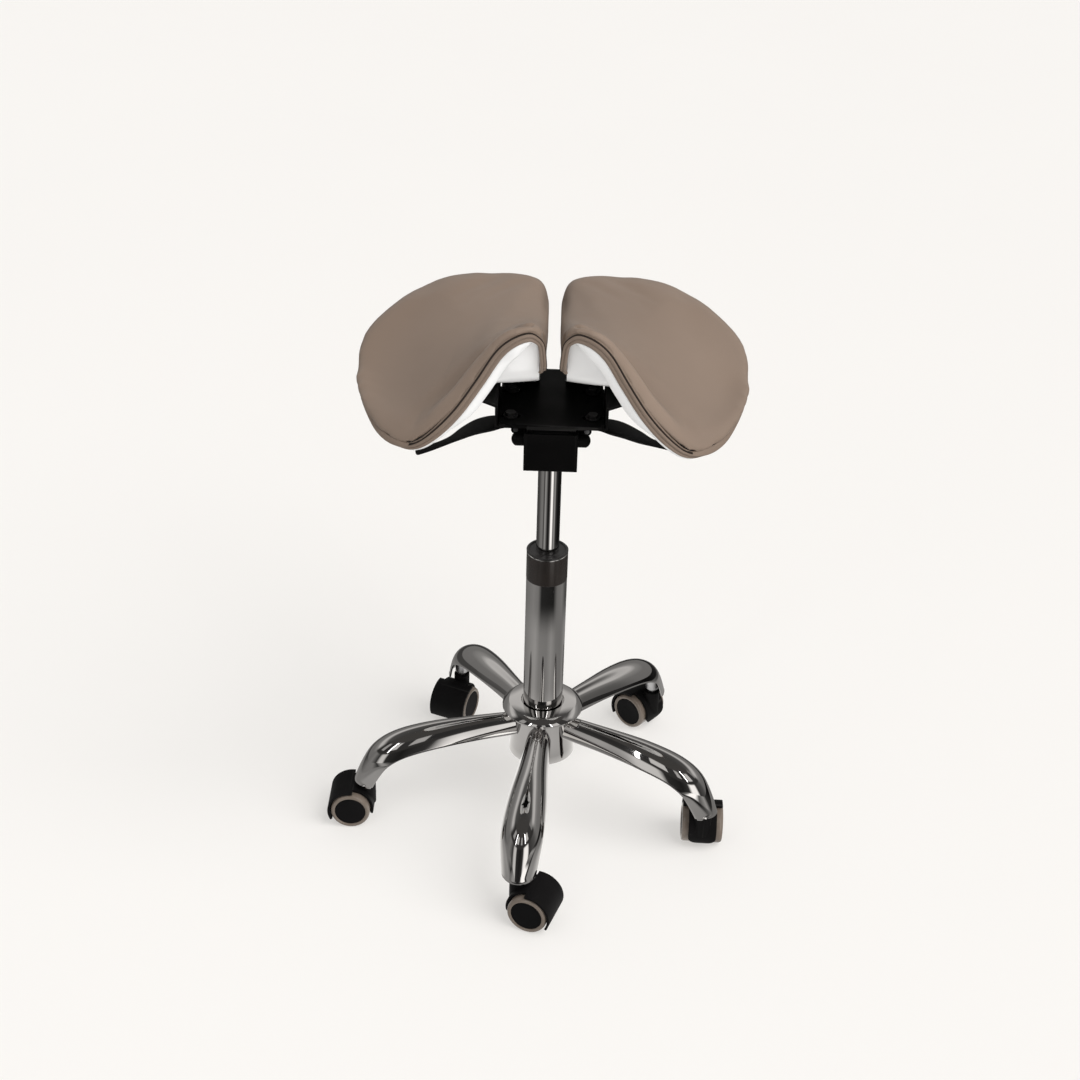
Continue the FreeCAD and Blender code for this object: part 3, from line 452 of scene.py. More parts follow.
rubber = finish(
    "spring_rubber", (0.022, 0.021, 0.021), (0.014, 0.014, 0.014), (0.7, 0.8), 30,
    (900, 0.5, 0.2))
print("finishes", len(bpy.data.materials))

# %% [markdown]
# Some CAD solids already have their final shape, because they are small or lie
# hidden inside the column. They stay as they are and only get their finish.

# %% Dress the CAD solids that stay
KEPT = {
    "lift_piston_rod": rod_steel, "lift_thrust_bearing": zinc, "lift_rod_seal": rubber,
    "lift_release_pin": zinc, "tilt_spring_sleeve": rubber, "tilt_lever_pins": zinc,
    "tilt_column_socket": powder_black, **{f"caster_{number}_pins": zinc for number in range(1, 6)},
}
for node, material in KEPT.items():
    solid = frame["nodes"][node]
    if not solid.material_slots:
        solid.data.materials.append(material)
    solid.material_slots[0].link = "OBJECT"
    solid.material_slots[0].material = material
print("kept solids", len(KEPT))

# %% [markdown]
# ## The column
#
# The gas lift is two polished tubes, one sliding in the other. A lathe makes
# the real ones, so each is a ring pulled along its outline. The outer tube ends
# in a dished black bush, and a smoky film is wrapped round its top.

# %% Outer tube, bush, film and inner tube
TUBE_FOOT, TUBE_TOP = 84.0, 379.5
outer_tube = lathe("column_outer_tube", (
    (23.5, 88), (23.5, TUBE_TOP - 0.6), (24.1, TUBE_TOP), (25, TUBE_TOP - 0.9),
    (25, TUBE_FOOT + 0.6), (24.4, TUBE_FOOT), (5, TUBE_FOOT), (5, 88)))
dress(outer_tube, "base", chrome, "chrome", "lift_outer_tube")

bush = lathe("column_bush", (
    (14.1, TUBE_TOP - 60), (23.4, TUBE_TOP - 60), (23.4, TUBE_TOP), (25.0, TUBE_TOP + 0.1),
    (25.4, TUBE_TOP + 0.6), (25.4, TUBE_TOP + 1.7), (24.7, TUBE_TOP + 2.4),
    (22.8, TUBE_TOP + 2.5), (22.2, TUBE_TOP + 2.2), (21.7, TUBE_TOP + 1.2),
    (15.5, TUBE_TOP + 0.9), (14.1, TUBE_TOP + 1.3)))
dress(bush, "base", bush_black, "black_plastic", "lift_guide_bush")

film = lathe("column_film", (
    (25.02, TUBE_TOP - 37), (25.2, TUBE_TOP - 36.8), (25.2, TUBE_TOP - 1.8),
    (25.02, TUBE_TOP - 1.6)))
dress(film, "base", smoke_film, "chrome")

low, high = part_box("lift_piston_tube")
foot, top = low.z / MM, high.z / MM
inner_tube = lathe("column_inner_tube", (
    (3.05, top), (13.2, top), (14, top - 0.8), (14, foot + 0.5), (13.5, foot),
    (12.5, foot), (12.5, top - 6), (3.05, top - 6)))
inner_body = body_of("lift_piston_tube")
dress(inner_tube, inner_body, chrome, "chrome", "lift_piston_tube")
print("column pieces ride on base and", inner_body)

# %% [markdown]
# ## The hub
#
# The five arms are welded to a short thick tube with a broad flange on top. The
# flange has a thin upright rim and a wide polished bevel, which is what mirrors
# the room in small bright blocks, and a narrow groove parts it from the column.

# %% Turn the hub
hub = lathe("base_hub_turned", (
    (25.05, 85), (41.0, 85), (41.8, 85.8), (41.7, 88), (40.6, 96), (39.4, 108), (38.6, 122),
    (38.2, 136), (38.2, 148.2), (39, 149), (50, 149), (51, 149.8), (51, 151.7), (50.5, 152.4),
    (43.4, 158.6), (42.2, 159), (27.4, 159), (26.8, 158.4), (26.6, 153), (25.05, 153)))
dress(hub, "base", chrome, "chrome", "base_hub")
print("hub", len(hub.data.polygons), "faces")

# %% [markdown]
# ## The star base
#
# Each arm is pressed from sheet steel: an upturned channel with a rounded
# crown, narrow at the hub and full at the bend, that turns straight down at its
# nose. A grid is laid over smooth rows between seven measured sections.
# Solidify then gives the sheet its thickness and a bevel breaks its edge.

# %% Lay one arm over its sections
# Each section has its reach, its height, its width and its depth, as shares.
ARM_SHARES = (
    (0.135, 1.00, 0.58, 1.00), (0.37, 0.98, 0.71, 1.00), (0.60, 0.93, 0.89, 1.00),
    (0.78, 0.81, 0.96, 0.97), (0.895, 0.60, 0.95, 0.94), (0.955, 0.32, 0.87, 0.90),
    (1.00, 0.00, 0.75, 0.84),
)
ARM_REACH, ARM_RISE, ARM_TIP = 0.2430, 0.081, 0.061
ARM_HALF_WIDTH, ARM_DEPTH, ARM_ARC = 0.027, 0.023, math.radians(68)
ARM_SHEET, ARM_EDGE = 0.002, 0.0005
ARM_SAMPLES, ARM_ROWS, ARM_STEPS = 400, 64, 34
NOSE_LEAN, NOSE_FLOOR = math.radians(70), 0.0605
LEAN_PASSES, ROW_PASSES = 12, 6


def arm_row(crown, lean, width, depth):
    """Points across the outside of one arm section, from edge to edge."""
    upward = Vector((math.sin(lean), 0, math.cos(lean)))
    row = []
    for step in range(ARM_STEPS + 1):
        angle = ARM_ARC * (2 * step / ARM_STEPS - 1)
        across = width * ARM_HALF_WIDTH * math.sin(angle) / math.sin(ARM_ARC)
        below = depth * ARM_DEPTH * (1 - math.cos(angle)) / (1 - math.cos(ARM_ARC))
        row.append(crown + Vector((0, across, 0)) - upward * below)
    return row


def arm_rows():
    """Sections at even steps along the crown, each square to it."""
    crowns = [(Vector((reach * ARM_REACH, 0, ARM_TIP + height * ARM_RISE)), width, depth)
              for reach, height, width, depth in smooth_rows(ARM_SHARES, ARM_SAMPLES)]
    walked = [0.0]
    for (before, _, _), (after, _, _) in zip(crowns, crowns[1:]):
        walked.append(walked[-1] + (after - before).length)
    picked = []
    for step in range(ARM_ROWS):
        goal = walked[-1] * step / (ARM_ROWS - 1)
        picked.append(crowns[min(range(ARM_SAMPLES), key=lambda i: abs(walked[i] - goal))])
    leans = [0.0]
    for (before, _, _), (after, _, _) in zip(picked, picked[2:]):
        lean = math.atan2(before.z - after.z, after.x - before.x)
        leans.append(min(lean, NOSE_LEAN))
    leans = averaged(leans + [NOSE_LEAN], LEAN_PASSES)
    rows = [arm_row(crown, lean, width, depth)
            for (crown, width, depth), lean in zip(picked, leans)]
    lines = [averaged(list(line), ROW_PASSES) for line in zip(*rows)]
    return [[Vector((point.x, point.y, max(point.z, NOSE_FLOOR))) for point in row]
            for row in zip(*lines)]


arm = laid_grid("arm_pattern", arm_rows())
apply_modifier(arm, "SOLIDIFY", thickness=ARM_SHEET, offset=-1)
round_edges(arm, ARM_EDGE, 2, 50)
print("arm pattern", len(arm.data.polygons), "faces")

# %% Copy the arm round the hub
ARM_FIRST_ANGLE = -95.73
for number in range(5):
    turn = Matrix.Rotation(math.radians(ARM_FIRST_ANGLE + 72 * number), 4, "Z")
    piece = place(own_copy(arm, f"base_arm_{number + 1}"), turn)
    dress(piece, "base", chrome, "chrome", "base_arms")
bpy.data.objects.remove(arm)
sockets = refined("base_caster_sockets", "base_sockets", 0.0006)
dress(sockets, "base", zinc, "socket_steel", "base_caster_sockets")

# %% [markdown]
# ## The casters
#
# A twin-wheel caster has two narrow wheels under one hood. Each wheel is a
# glossy grey tread round a flat dull disc. Both are turned once, lying flat,
# then copied ten times and stood up on their axles by a matrix.

# %% Turn the tread and the disc once
CASTER_CIRCLE, TRAIL, WHEEL_RADIUS = 0.226, 0.0205, 0.025
SWIVELS, HOOD_EDGE = (-20.0, 88.0, 140.0, 247.0, 180.0), 0.0009
tread = lathe("tread_pattern", (
    (20.0, 8.0), (21.5, 7.3), (23.8, 7.3), (24.7, 8.0), (25, 9.2), (25, 21.0), (24.8, 22.9),
    (24.1, 24.6), (22.9, 25.6), (21.4, 25.9), (20.2, 25.5), (19.6, 24.9), (19.4, 24.0),
    (19.4, 9.0)), segments=72)
disc = lathe("disc_pattern", (
    (3.1, 9.0), (5.5, 9.0), (6.0, 10.5), (17.6, 10.5), (18.2, 8.6), (19.2, 8.6), (19.4, 9.2),
    (19.4, 24.4), (18.9, 25.0), (18.3, 25.1), (14, 25.1), (10, 25.1), (6, 25.1), (2.5, 25.1)),
    segments=72, closed=False)
print("tread and disc", len(tread.data.polygons), len(disc.data.polygons), "faces")

# %% Place wheels and hoods
for number, swivel in enumerate(SWIVELS, 1):
    angle = math.radians(ARM_FIRST_ANGLE + 72 * (number - 1))
    stem = Matrix.Translation(CASTER_CIRCLE * Vector((math.cos(angle), math.sin(angle), 0)))
    turned = stem @ Matrix.Rotation(math.radians(swivel), 4, "Z")
    axle = turned @ Matrix.Translation((TRAIL, 0, WHEEL_RADIUS))
    for side, quarter in (("a", -90), ("b", 90)):
        stand = axle @ Matrix.Rotation(math.radians(quarter), 4, "X")
        for name, pattern, material in (("tread", tread, tyre_grey), ("disc", disc, disc_black)):
            piece = place(own_copy(pattern, f"caster_{number}_{name}_{side}"), stand)
            dress(piece, f"caster_{number}_roller_{side}", material, "caster_wheel",
                  f"caster_{number}_wheel_{side}")
    node = f"caster_{number}_hood"
    hood = refined(node, f"caster_{number}_cover", HOOD_EDGE, 3)
    dress(hood, f"caster_{number}", moulded_black, "black_plastic", node)
for pattern in (tread, disc):
    bpy.data.objects.remove(pattern)
print("casters", len(SWIVELS))

# %% [markdown]
# ## The tilt mechanism
#
# Folded and powder-coated steel never has a knife edge: the coat pulls back and
# every fold has a radius. The CAD solids are copied, their loose triangles are
# merged into whole faces, and a small bevel catches the light on each edge.

# %% Housing, plate, brackets, shaft and fasteners
COATED = (powder_black, "black_steel")
MECHANISM = (
    ("tilt_housing", "housing_folded", 0.0008, *COATED),
    ("tilt_seat_plate", "seat_plate_coated", 0.0006, *COATED),
    ("tilt_pivot_shaft", "pivot_shaft_capped", 0.0005, *COATED),
    ("seat_right_bracket", "bracket_right", 0.0005, *COATED),
    ("seat_left_bracket", "bracket_left", 0.0005, *COATED),
    ("seat_right_fasteners", "bolts_right", 0.0004, bolt_black, "fixings"),
    ("seat_left_fasteners", "bolts_left", 0.0004, bolt_black, "fixings"),
)
for node, name, width, material, slot in MECHANISM:
    piece = refined(node, name, width)
    dress(piece, body_of(node), material, slot, node)
    print(name, len(piece.data.polygons), "faces")

# %% [markdown]
# ## The levers
#
# A lever is a moulding with no flat on it: a broad paddle under the fingers, a
# thin neck and a flared tip. Smooth rows are laid over nine sections. Its
# barrel is turned on the lathe, and the finger that works the valve is a block.

# %% Lay the paddle, turn the barrel and cut the finger
# Each section has its reach, its drop, its width and its thickness, as shares.
LEVER_SHARES = (
    (0.285, -0.02, 0.40, 0.95), (0.36, -0.02, 0.62, 0.95), (0.43, 0.00, 0.98, 1.00),
    (0.55, 0.13, 1.00, 1.00), (0.66, 0.36, 0.76, 1.00), (0.76, 0.62, 0.36, 1.00),
    (0.87, 0.83, 0.28, 1.12), (0.95, 0.92, 0.40, 1.40), (1.00, 0.955, 0.56, 1.50),
)
LEVER_REACH, LEVER_DROP, LEVER_HALF_WIDTH, LEVER_THICKNESS = 0.158, 0.040, 0.019, 0.006
LEVER_PLACE = Vector((0.041, -0.004, 0.551))
LEVER_ROWS, LEVER_STEPS, SQUARENESS, TIP_ROWS = 56, 24, 0.7, 5
FINGER_WIDTH, FINGER_HEIGHT, FINGER_LEVEL = 0.0096, 0.0036, 0.5568
MIRROR = Matrix.Diagonal((-1, 1, 1, 1))


def squared(share):
    """Cosine or sine raised towards a rounded square."""
    return math.copysign(abs(share) ** SQUARENESS, share)


def lever_row(shares, round_off, lift, sweep):
    """Rounded flat section across a lever that lifts and sweeps back towards its tip."""
    reach, drop, width, thickness = shares
    towards_tip = eased(reach, 0.55, 1.0)
    middle = Vector((reach * LEVER_REACH, LEVER_PLACE.y + sweep * towards_tip,
                     LEVER_PLACE.z - drop * LEVER_DROP + lift * towards_tip))
    row = []
    for step in range(LEVER_STEPS + 1):
        angle = math.tau * step / LEVER_STEPS
        y = squared(math.cos(angle)) * width * LEVER_HALF_WIDTH * round_off
        z = squared(math.sin(angle)) * thickness * LEVER_THICKNESS / 2 * round_off
        row.append(middle + Vector((0, y, z)))
    return row


def lever_rows(lift, sweep):
    """Sections of a whole lever, with its last few rows rounded off."""
    rows = []
    for i, shares in enumerate(smooth_rows(LEVER_SHARES, LEVER_ROWS)):
        to_tip = min(1.0, (LEVER_ROWS - 0.7 - i) / TIP_ROWS)
        rows.append(lever_row(shares, math.sqrt(1 - (1 - to_tip) ** 2), lift, sweep))
    return rows


barrel = lathe("barrel_pattern", (
    (3.3, -10.8), (5.0, -10.8), (5.5, -10.3), (5.5, 10.3), (5.0, 10.8), (3.3, 10.8)),
    segments=48)
place(barrel, Matrix.Translation(LEVER_PLACE) @ Matrix.Rotation(math.radians(90), 4, "X"))
for side, matrix, finger_end, lift, sweep in (
        ("right", Matrix.Identity(4), -0.003, 0.008, 0.008), ("left", MIRROR, 0.031, 0.0, 0.0)):
    node = "lever_" + side
    paddle = laid_grid(node + "_paddle", lever_rows(lift, sweep), wrap=True, caps=True)
    bpy.ops.mesh.primitive_cube_add(size=1)
    finger = named_active(node + "_finger")
    finger.scale = (LEVER_PLACE.x - finger_end, FINGER_WIDTH, FINGER_HEIGHT)
    finger.location = ((LEVER_PLACE.x + finger_end) / 2, LEVER_PLACE.y, FINGER_LEVEL)
    bpy.ops.object.transform_apply(location=True, rotation=False, scale=True)
    round_edges(finger, 0.0006, 2)
    for piece in (paddle, own_copy(barrel, node + "_barrel"), finger):
        dress(place(piece, matrix), body_of(node), moulded_black, "lever_plastic", node)
bpy.data.objects.remove(barrel)
print("levers with paddle, barrel and finger on", body_of("lever_left"), body_of("lever_right"))

# %% [markdown]
# ## Sections through the seat
#
# Each half of the seat is a saddle. Fifteen sections from the gap to the
# flank say where its front and back seams run, how far the foam rolls up
# behind them, and how deep the saddle lies between. Every seat piece below is
# drawn from this one table, so cushion, band and shell meet exactly.

# %% The table of sections
# Each row: place across, front seam and its height, back seam and its height, front
# roll, back roll, top of the saddle and underside, all as shares of the sizes below.
SEAT_SHARES = (
    (0.037, -0.51, 0.69, 0.88, 0.52, 0.93, 0.42, 0.68, 0.44),
    (0.050, -0.54, 0.89, 0.93, 0.54, 0.42, 0.82, 0.73, 0.48),
    (0.075, -0.56, 0.96, 0.96, 0.57, 0.41, 0.96, 0.75, 0.52),
    (0.118, -0.58, 1.00, 0.98, 0.59, 0.41, 1.00, 0.765, 0.545),
    (0.197, -0.61, 0.96, 0.99, 0.605, 0.41, 1.00, 0.76, 0.545),
    (0.271, -0.625, 0.85, 1.00, 0.605, 0.43, 1.00, 0.74, 0.53),
    (0.358, -0.655, 0.62, 1.00, 0.605, 0.44, 1.00, 0.70, 0.485),
    (0.459, -0.69, 0.375, 0.99, 0.60, 0.44, 1.00, 0.64, 0.40),
    (0.568, -0.705, 0.175, 0.965, 0.57, 0.44, 1.00, 0.545, 0.29),
    (0.664, -0.685, 0.05, 0.915, 0.53, 0.44, 0.96, 0.44, 0.19),
    (0.764, -0.605, 0.005, 0.83, 0.475, 0.46, 0.93, 0.33, 0.11),
    (0.856, -0.44, 0.01, 0.72, 0.39, 0.49, 0.88, 0.26, 0.08),
    (0.926, -0.24, 0.055, 0.625, 0.305, 0.50, 0.82, 0.25, 0.095),
    (0.969, -0.05, 0.11, 0.53, 0.245, 0.50, 0.72, 0.27, 0.13),
    (0.993, 0.09, 0.16, 0.38, 0.21, 0.42, 0.50, 0.285, 0.165),
)
SEAT_HALF, SEAT_REACH, SEAT_LOW, SEAT_RISE = 0.229, 0.160, 0.568, 0.136
ROLL_SIZE = 0.030


def section(shares):
    """Places of the seams, the rolls and the saddle in one section."""
    across, front, front_up, back, back_up, roll, back_roll, top, base = shares

    def point(y, up):
        return Vector((across * SEAT_HALF, y, SEAT_LOW + up * SEAT_RISE))

    front, back = point(front * SEAT_REACH, front_up), point(back * SEAT_REACH, back_up)
    middle = (front.y + back.y) / 2
    return {"front": front, "back": back, "top": point(middle, top), "base": point(middle, base),
            "roll": roll * ROLL_SIZE, "back_roll": back_roll * ROLL_SIZE}


sections = [section(row) for row in smooth_rows(SEAT_SHARES, 85)]
print("sections", len(sections), "from", round(sections[0]["front"].x, 4),
      "to", round(sections[-1]["front"].x, 4))

# %% [markdown]
# ## The cushion
#
# The foam core is cut to the sections, a little smaller than the finished
# cushion, and closed underneath. It is remeshed evenly, and a cloth simulation
# with air pressure inside stretches the cover over it like a stuffed skin. The
# underside is pinned, because the real cover is glued and stapled there, and no
# point may travel further than taut leather would let it.

# %% Draw the foam core
def straight_run(start, end, steps):
    """Even points from a start to an end, without the last."""
    return [start.lerp(end, step / steps) for step in range(steps)]


def arc_run(start, through, end, steps):
    """Points on the circle through three points of one section, without the last."""
    a, b, c = [Vector((point.y, point.z)) for point in (start, through, end)]
    turn = 2 * ((b - a).x * (c - a).y - (b - a).y * (c - a).x)
    if abs(turn) < 1e-9:
        return straight_run(start, end, steps)
    ab, ac = (b - a).length_squared, (c - a).length_squared
    centre = a + Vector(((c - a).y * ab - (b - a).y * ac, (b - a).x * ac - (c - a).x * ab)) / turn
    first = math.atan2(a.y - centre.y, a.x - centre.x)
    sweep = math.atan2(c.y - centre.y, c.x - centre.x) - first
    half = math.atan2(b.y - centre.y, b.x - centre.x) - first
    sweep, half = sweep % math.tau, half % math.tau
    if half > sweep:
        sweep -= math.tau
    radius = (a - centre).length
    run = []
    for step in range(steps):
        angle = first + sweep * step / steps
        run.append(Vector((start.x, centre.x + radius * math.cos(angle),
                           centre.y + radius * math.sin(angle))))
    return run


CREST_LIFT, SKIN = 0.0035, 0.0008
CREST_LEAN, BACK_CREST_LEAN, SWELL_LEAN, SWELL_RISE = 0.95, 0.75, 0.12, 0.62
ROLL_STEPS, SADDLE_STEPS, UNDER_STEPS, CROWN_PASSES = 14, 56, 24, 14


def crown_run(s):
    """Points from the front seam over the saddle to the back seam, evened out."""
    front, back, roll, back_roll = s["front"], s["back"], s["roll"], s["back_roll"] + CREST_LIFT
    crest = front + Vector((0, roll * CREST_LEAN, roll))
    back_crest = back + Vector((0, -back_roll * BACK_CREST_LEAN, back_roll))
    swell = front + Vector((0, roll * SWELL_LEAN, roll * SWELL_RISE))
    back_swell = back + Vector((0, -back_roll * SWELL_LEAN, back_roll * SWELL_RISE))
    run = arc_run(front, swell, crest, ROLL_STEPS)
    run += arc_run(crest, s["top"], back_crest, SADDLE_STEPS)
    run += arc_run(back_crest, back_swell, back, ROLL_STEPS) + [back.copy()]
    return averaged(run, CROWN_PASSES)


core_rows = []
for s in sections:
    centre = (s["top"] + s["base"]) / 2
    ring = crown_run(s) + straight_run(s["back"], s["base"], UNDER_STEPS)[1:]
    ring += straight_run(s["base"], s["front"], UNDER_STEPS) + [s["front"].copy()]
    core_rows.append([point + (centre - point).normalized() * SKIN for point in ring])
cushion = laid_grid("cushion_pattern", core_rows, wrap=True, caps=True)
print("foam core", len(cushion.data.polygons), "faces")

# %% Stuff the cushion
VOXEL, CAP, PRESSURE, STUFFING_FRAMES, UNDERSIDE = 0.0045, 0.003, 4.0, 20, -0.35


def stuff(piece):
    """Cloth with air pressure inside, pinned underneath and capped in its travel."""
    start = [vertex.co.copy() for vertex in piece.data.vertices]
    pinned = piece.vertex_groups.new(name="glued_underside")
    under = [v.index for v in piece.data.vertices if v.normal.z < UNDERSIDE]
    pinned.add(under, 1.0, "REPLACE")
    modifier = piece.modifiers.new("Cloth", "CLOTH")
    modifier.settings.use_pressure = True
    modifier.settings.uniform_pressure_force = PRESSURE
    modifier.settings.vertex_group_mass = pinned.name
    modifier.settings.effector_weights.gravity = 0
    scene = bpy.context.scene
    for number in range(1, STUFFING_FRAMES + 1):
        scene.frame_set(number)
    pick_only(piece)
    bpy.ops.object.modifier_apply(modifier=modifier.name)
    farthest = 0.0
    for vertex, first in zip(piece.data.vertices, start):
        travel = vertex.co - first
        farthest = max(farthest, travel.length)
        if travel.length > CAP:
            vertex.co = first + travel.normalized() * CAP
    piece.vertex_groups.clear()
    scene.frame_set(1)
    print("cover travelled up to", round(farthest / MM, 1), "mm")


apply_modifier(cushion, "REMESH", mode="VOXEL", voxel_size=VOXEL, use_smooth_shade=True)
stuff(cushion)
apply_modifier(cushion, "SMOOTH", factor=0.5, iterations=8)
apply_modifier(cushion, "SUBSURF", levels=1, render_levels=1)
print("cushion", len(cushion.data.polygons), "faces")

# %% [markdown]
# The leather is drawn down a finger's width behind the front seam, so the foam
# there stands up as a soft roll. The valley is pressed into the mesh: each point
# moves in by an amount that depends on its distance from the seam line. The same
# folds paint light into the leather: a painted highlight on the crest and
# painted shade in the valley.

# %% Press the channel behind the front seam
# Three measures each: distance from the seam, width, and depth or height. A pair
# is the measure beside the gap and what it gains towards the crown.
VALLEY = ((0.0125, 0.0300), (0.0038, 0.0095), (0.0046, 0.0026))
CREST = ((0.0058, 0.0130), (0.0033, 0.0080), (0.0009, 0.0021))
CORNER_IN, CORNER_FRONT, CORNER_WIDTH, CORNER_FADE = 0.0034, -0.055, 0.020, (0.683, 0.704)
FLANK_OUT, FLANK_FADE, SPREAD_FADE = 0.0036, (0.70, 0.97), (0.10, 0.42)
CHANNEL_FADE, SIDE_FADE, FLANK_SMOOTHED = (0.48, 0.74), (0.3, 0.8), (0.55, 0.80)
# Scales that turn the crest into a painted highlight and the valley into painted shade.
CREST_PAINTED_HIGHLIGHT, VALLEY_PAINTED_SHADE = 1 / 0.003, 0.35 / 0.007


def fold(measures, spread, distance):
    """Bell-shaped fold along the seam, at a distance from it."""
    peak, width, height = (near + gain * spread for near, gain in measures)
    return height * math.exp(-((distance - peak) / width) ** 2)


seam_tree = KDTree(len(sections))
for index, s in enumerate(sections):
    seam_tree.insert(s["front"], index)
seam_tree.balance()
normals = [vertex.normal.copy() for vertex in cushion.data.vertices]
roll_light_and_shade = cushion.data.attributes.new("roll_light_and_shade", "FLOAT", "POINT")
deepest = 0.0
for vertex, normal in zip(cushion.data.vertices, normals):
    if normal.z < -0.3:
        continue
    distance = seam_tree.find(vertex.co)[2]
    across = vertex.co.x / SEAT_HALF
    if vertex.co.y < CORNER_FRONT and vertex.co.x < CORNER_WIDTH:
        vertex.co.x += CORNER_IN * (1 - eased(vertex.co.z, *CORNER_FADE))
    vertex.co.x += FLANK_OUT * eased(across, *FLANK_FADE)
    spread = eased(across, *SPREAD_FADE)
    fade = (1 - eased(across, *CHANNEL_FADE)) * (1 - eased(-normal.x, *SIDE_FADE))
    press = fade * fold(VALLEY, spread, distance)
    swell = fade * fold(CREST, spread, distance)
    deepest = max(deepest, press)
    vertex.co -= normal * (press - swell)
    # Painted light: the crest is marked lighter as a painted highlight, the valley darker as
    # painted shade.
    roll_light_and_shade.data[vertex.index].value = swell * CREST_PAINTED_HIGHLIGHT - press * VALLEY_PAINTED_SHADE
flank = cushion.vertex_groups.new(name="flank")
for vertex in cushion.data.vertices:
    flank.add([vertex.index], eased(vertex.co.x / SEAT_HALF, *FLANK_SMOOTHED), "REPLACE")
apply_modifier(cushion, "SMOOTH", factor=0.5, iterations=60, vertex_group=flank.name)
cushion.vertex_groups.clear()
print("channel pressed", round(deepest / MM, 1), "mm deep")

# %% [markdown]
# ## The band and the rim
#
# Under the cushion runs a narrow double band of the same leather, and under it
# the bright rim of the shell. Both follow the seam right round the half. Each
# is a small profile carried along that loop, so the frame it travels in matters:
# one axis points out of the seat, the other away from the cushion.

# %% The seam loop and its travelling frame
LOOP_POINTS, FLANK_BULGE = 420, Vector((0.0012, 0, 0))
LEG_FRONT, LEG_WIDTH, LEG_SHIFT, LEG_FACING = -0.07, 0.016, 0.0009, Vector((-0.3, -0.954, 0))
SIDE_TUCK, BACK_TUCK = math.radians(58), math.radians(48)
LEG_FOOT = sections[0]["front"] + Vector((0.0004, 0.004, -0.006))


def seam_loop():
    """Points of the seam right round one half, front first, then flank, back and gap."""
    first, last = sections[0], sections[-1]
    front = [s["front"] for s in sections]
    back = [s["back"] for s in reversed(sections)]
    flank = [point + FLANK_BULGE for point in straight_run(last["front"], last["back"], 5)[1:]]
    gap = straight_run(first["back"], first["base"], 9)[1:]
    gap += straight_run(first["base"], LEG_FOOT, 8) + [LEG_FOOT]
    gap += [LEG_FOOT.lerp(first["front"], 0.5)]
    return front + flank + back + gap


def evened(loop, count):
    """Closed loop resampled to even steps and softened."""
    lengths = [0.0]
    for a, b in zip(loop, loop[1:] + loop[:1]):
        lengths.append(lengths[-1] + (b - a).length)
    points, index = [], 0
    for step in range(count):
        goal = lengths[-1] * step / count
        while lengths[index + 1] < goal:
            index += 1
        part = (goal - lengths[index]) / (lengths[index + 1] - lengths[index])
        points.append(loop[index].lerp(loop[(index + 1) % len(loop)], part))
    return averaged(points, 3, closed=True)


def drawn_in(point):
    """A seam point, drawn in under the round of the cushion at the flank."""
    across = point.x / SEAT_HALF
    return point - Vector((0.0026 * eased(across, 0.80, 0.96), 0,
                           0.0044 * eased(across, 0.925, 0.988)))


def tuck_angle(out):
    """How far band and rim lean in under the cushion, by where the side faces."""
    if out.x > 0:
        return SIDE_TUCK * eased(out.y, -1.0, -0.8)
    return BACK_TUCK if out.y > 0 or out.x < -0.8 else 0.0


def nearest_frame(point):
    """Index of the loop point that is nearest to a point."""
    return min(range(len(path)), key=lambda i: (path[i] - point).length_squared)


path = [drawn_in(point) for point in evened(seam_loop(), LOOP_POINTS)]
for point in path:
    if point.y < LEG_FRONT:
        point.x -= LEG_SHIFT * (1 - eased(point.x, 0.010, 0.015))
along = [(after - before).normalized()
         for before, after in zip(path[-1:] + path, path[1:] + path[:1])]
outward = [LEG_FACING.copy() if point.y < LEG_FRONT and point.x < LEG_WIDTH
           else Vector((t.y, -t.x, 0)).normalized() for point, t in zip(path, along)]
outward = averaged(outward, 12, closed=True)
outward = [(n - t * n.dot(t)).normalized() for n, t in zip(outward, along)]
inside_way = [t.cross(n).normalized() for t, n in zip(along, outward)]
tucks = averaged([tuck_angle(out) for out in outward], 8, closed=True)
frames = list(zip(outward, inside_way, tucks))
outward = [out * math.cos(lean) + away * math.sin(lean) for out, away, lean in frames]
inside_way = [away * math.cos(lean) - out * math.sin(lean) for out, away, lean in frames]
print("seam loop", round(sum((b - a).length for a, b in zip(path, path[1:])), 3), "m long")

# %% [markdown]
# The band narrows beside the gap and at the flank. The rim shines broad at the
# front only, and shrinks to a thin lip everywhere else.

# %% How wide band and rim are along the loop
leg_foot = nearest_frame(LEG_FOOT)
leg_top = next(i for i, point in enumerate(path) if point.x > 0.0115)
back_end = nearest_frame(sections[1]["back"])
flank_turn = nearest_frame(sections[-1]["front"])
# The dark cord of painted seam shade runs from the gap leg round the front to here.
seam_shadow_end = next(i for i, point in enumerate(path) if point.x > 0.69 * SEAT_HALF)
band_share, rim_share = [], []
for i, point in enumerate(path):
    across = point.x / SEAT_HALF
    in_front = i < flank_turn or i > leg_foot - 3
    share = 0.70 + 0.30 * eased(point.x, 0.010, 0.028) if in_front else 1.0
    band_share.append(share - 0.38 * eased(across, 0.50, 0.74))
    bright = 0.1 + 0.9 * eased(point.x, 0.012, 0.050) if in_front else 0.0
    rim_share.append(max(0.22, bright * (1 - eased(across, 0.40, 0.58))))
lips = averaged([1 - eased(lean, 0.0, 0.9) for lean in tucks], 24, closed=True)
print("welt up to loop point", seam_shadow_end, "of", len(path))


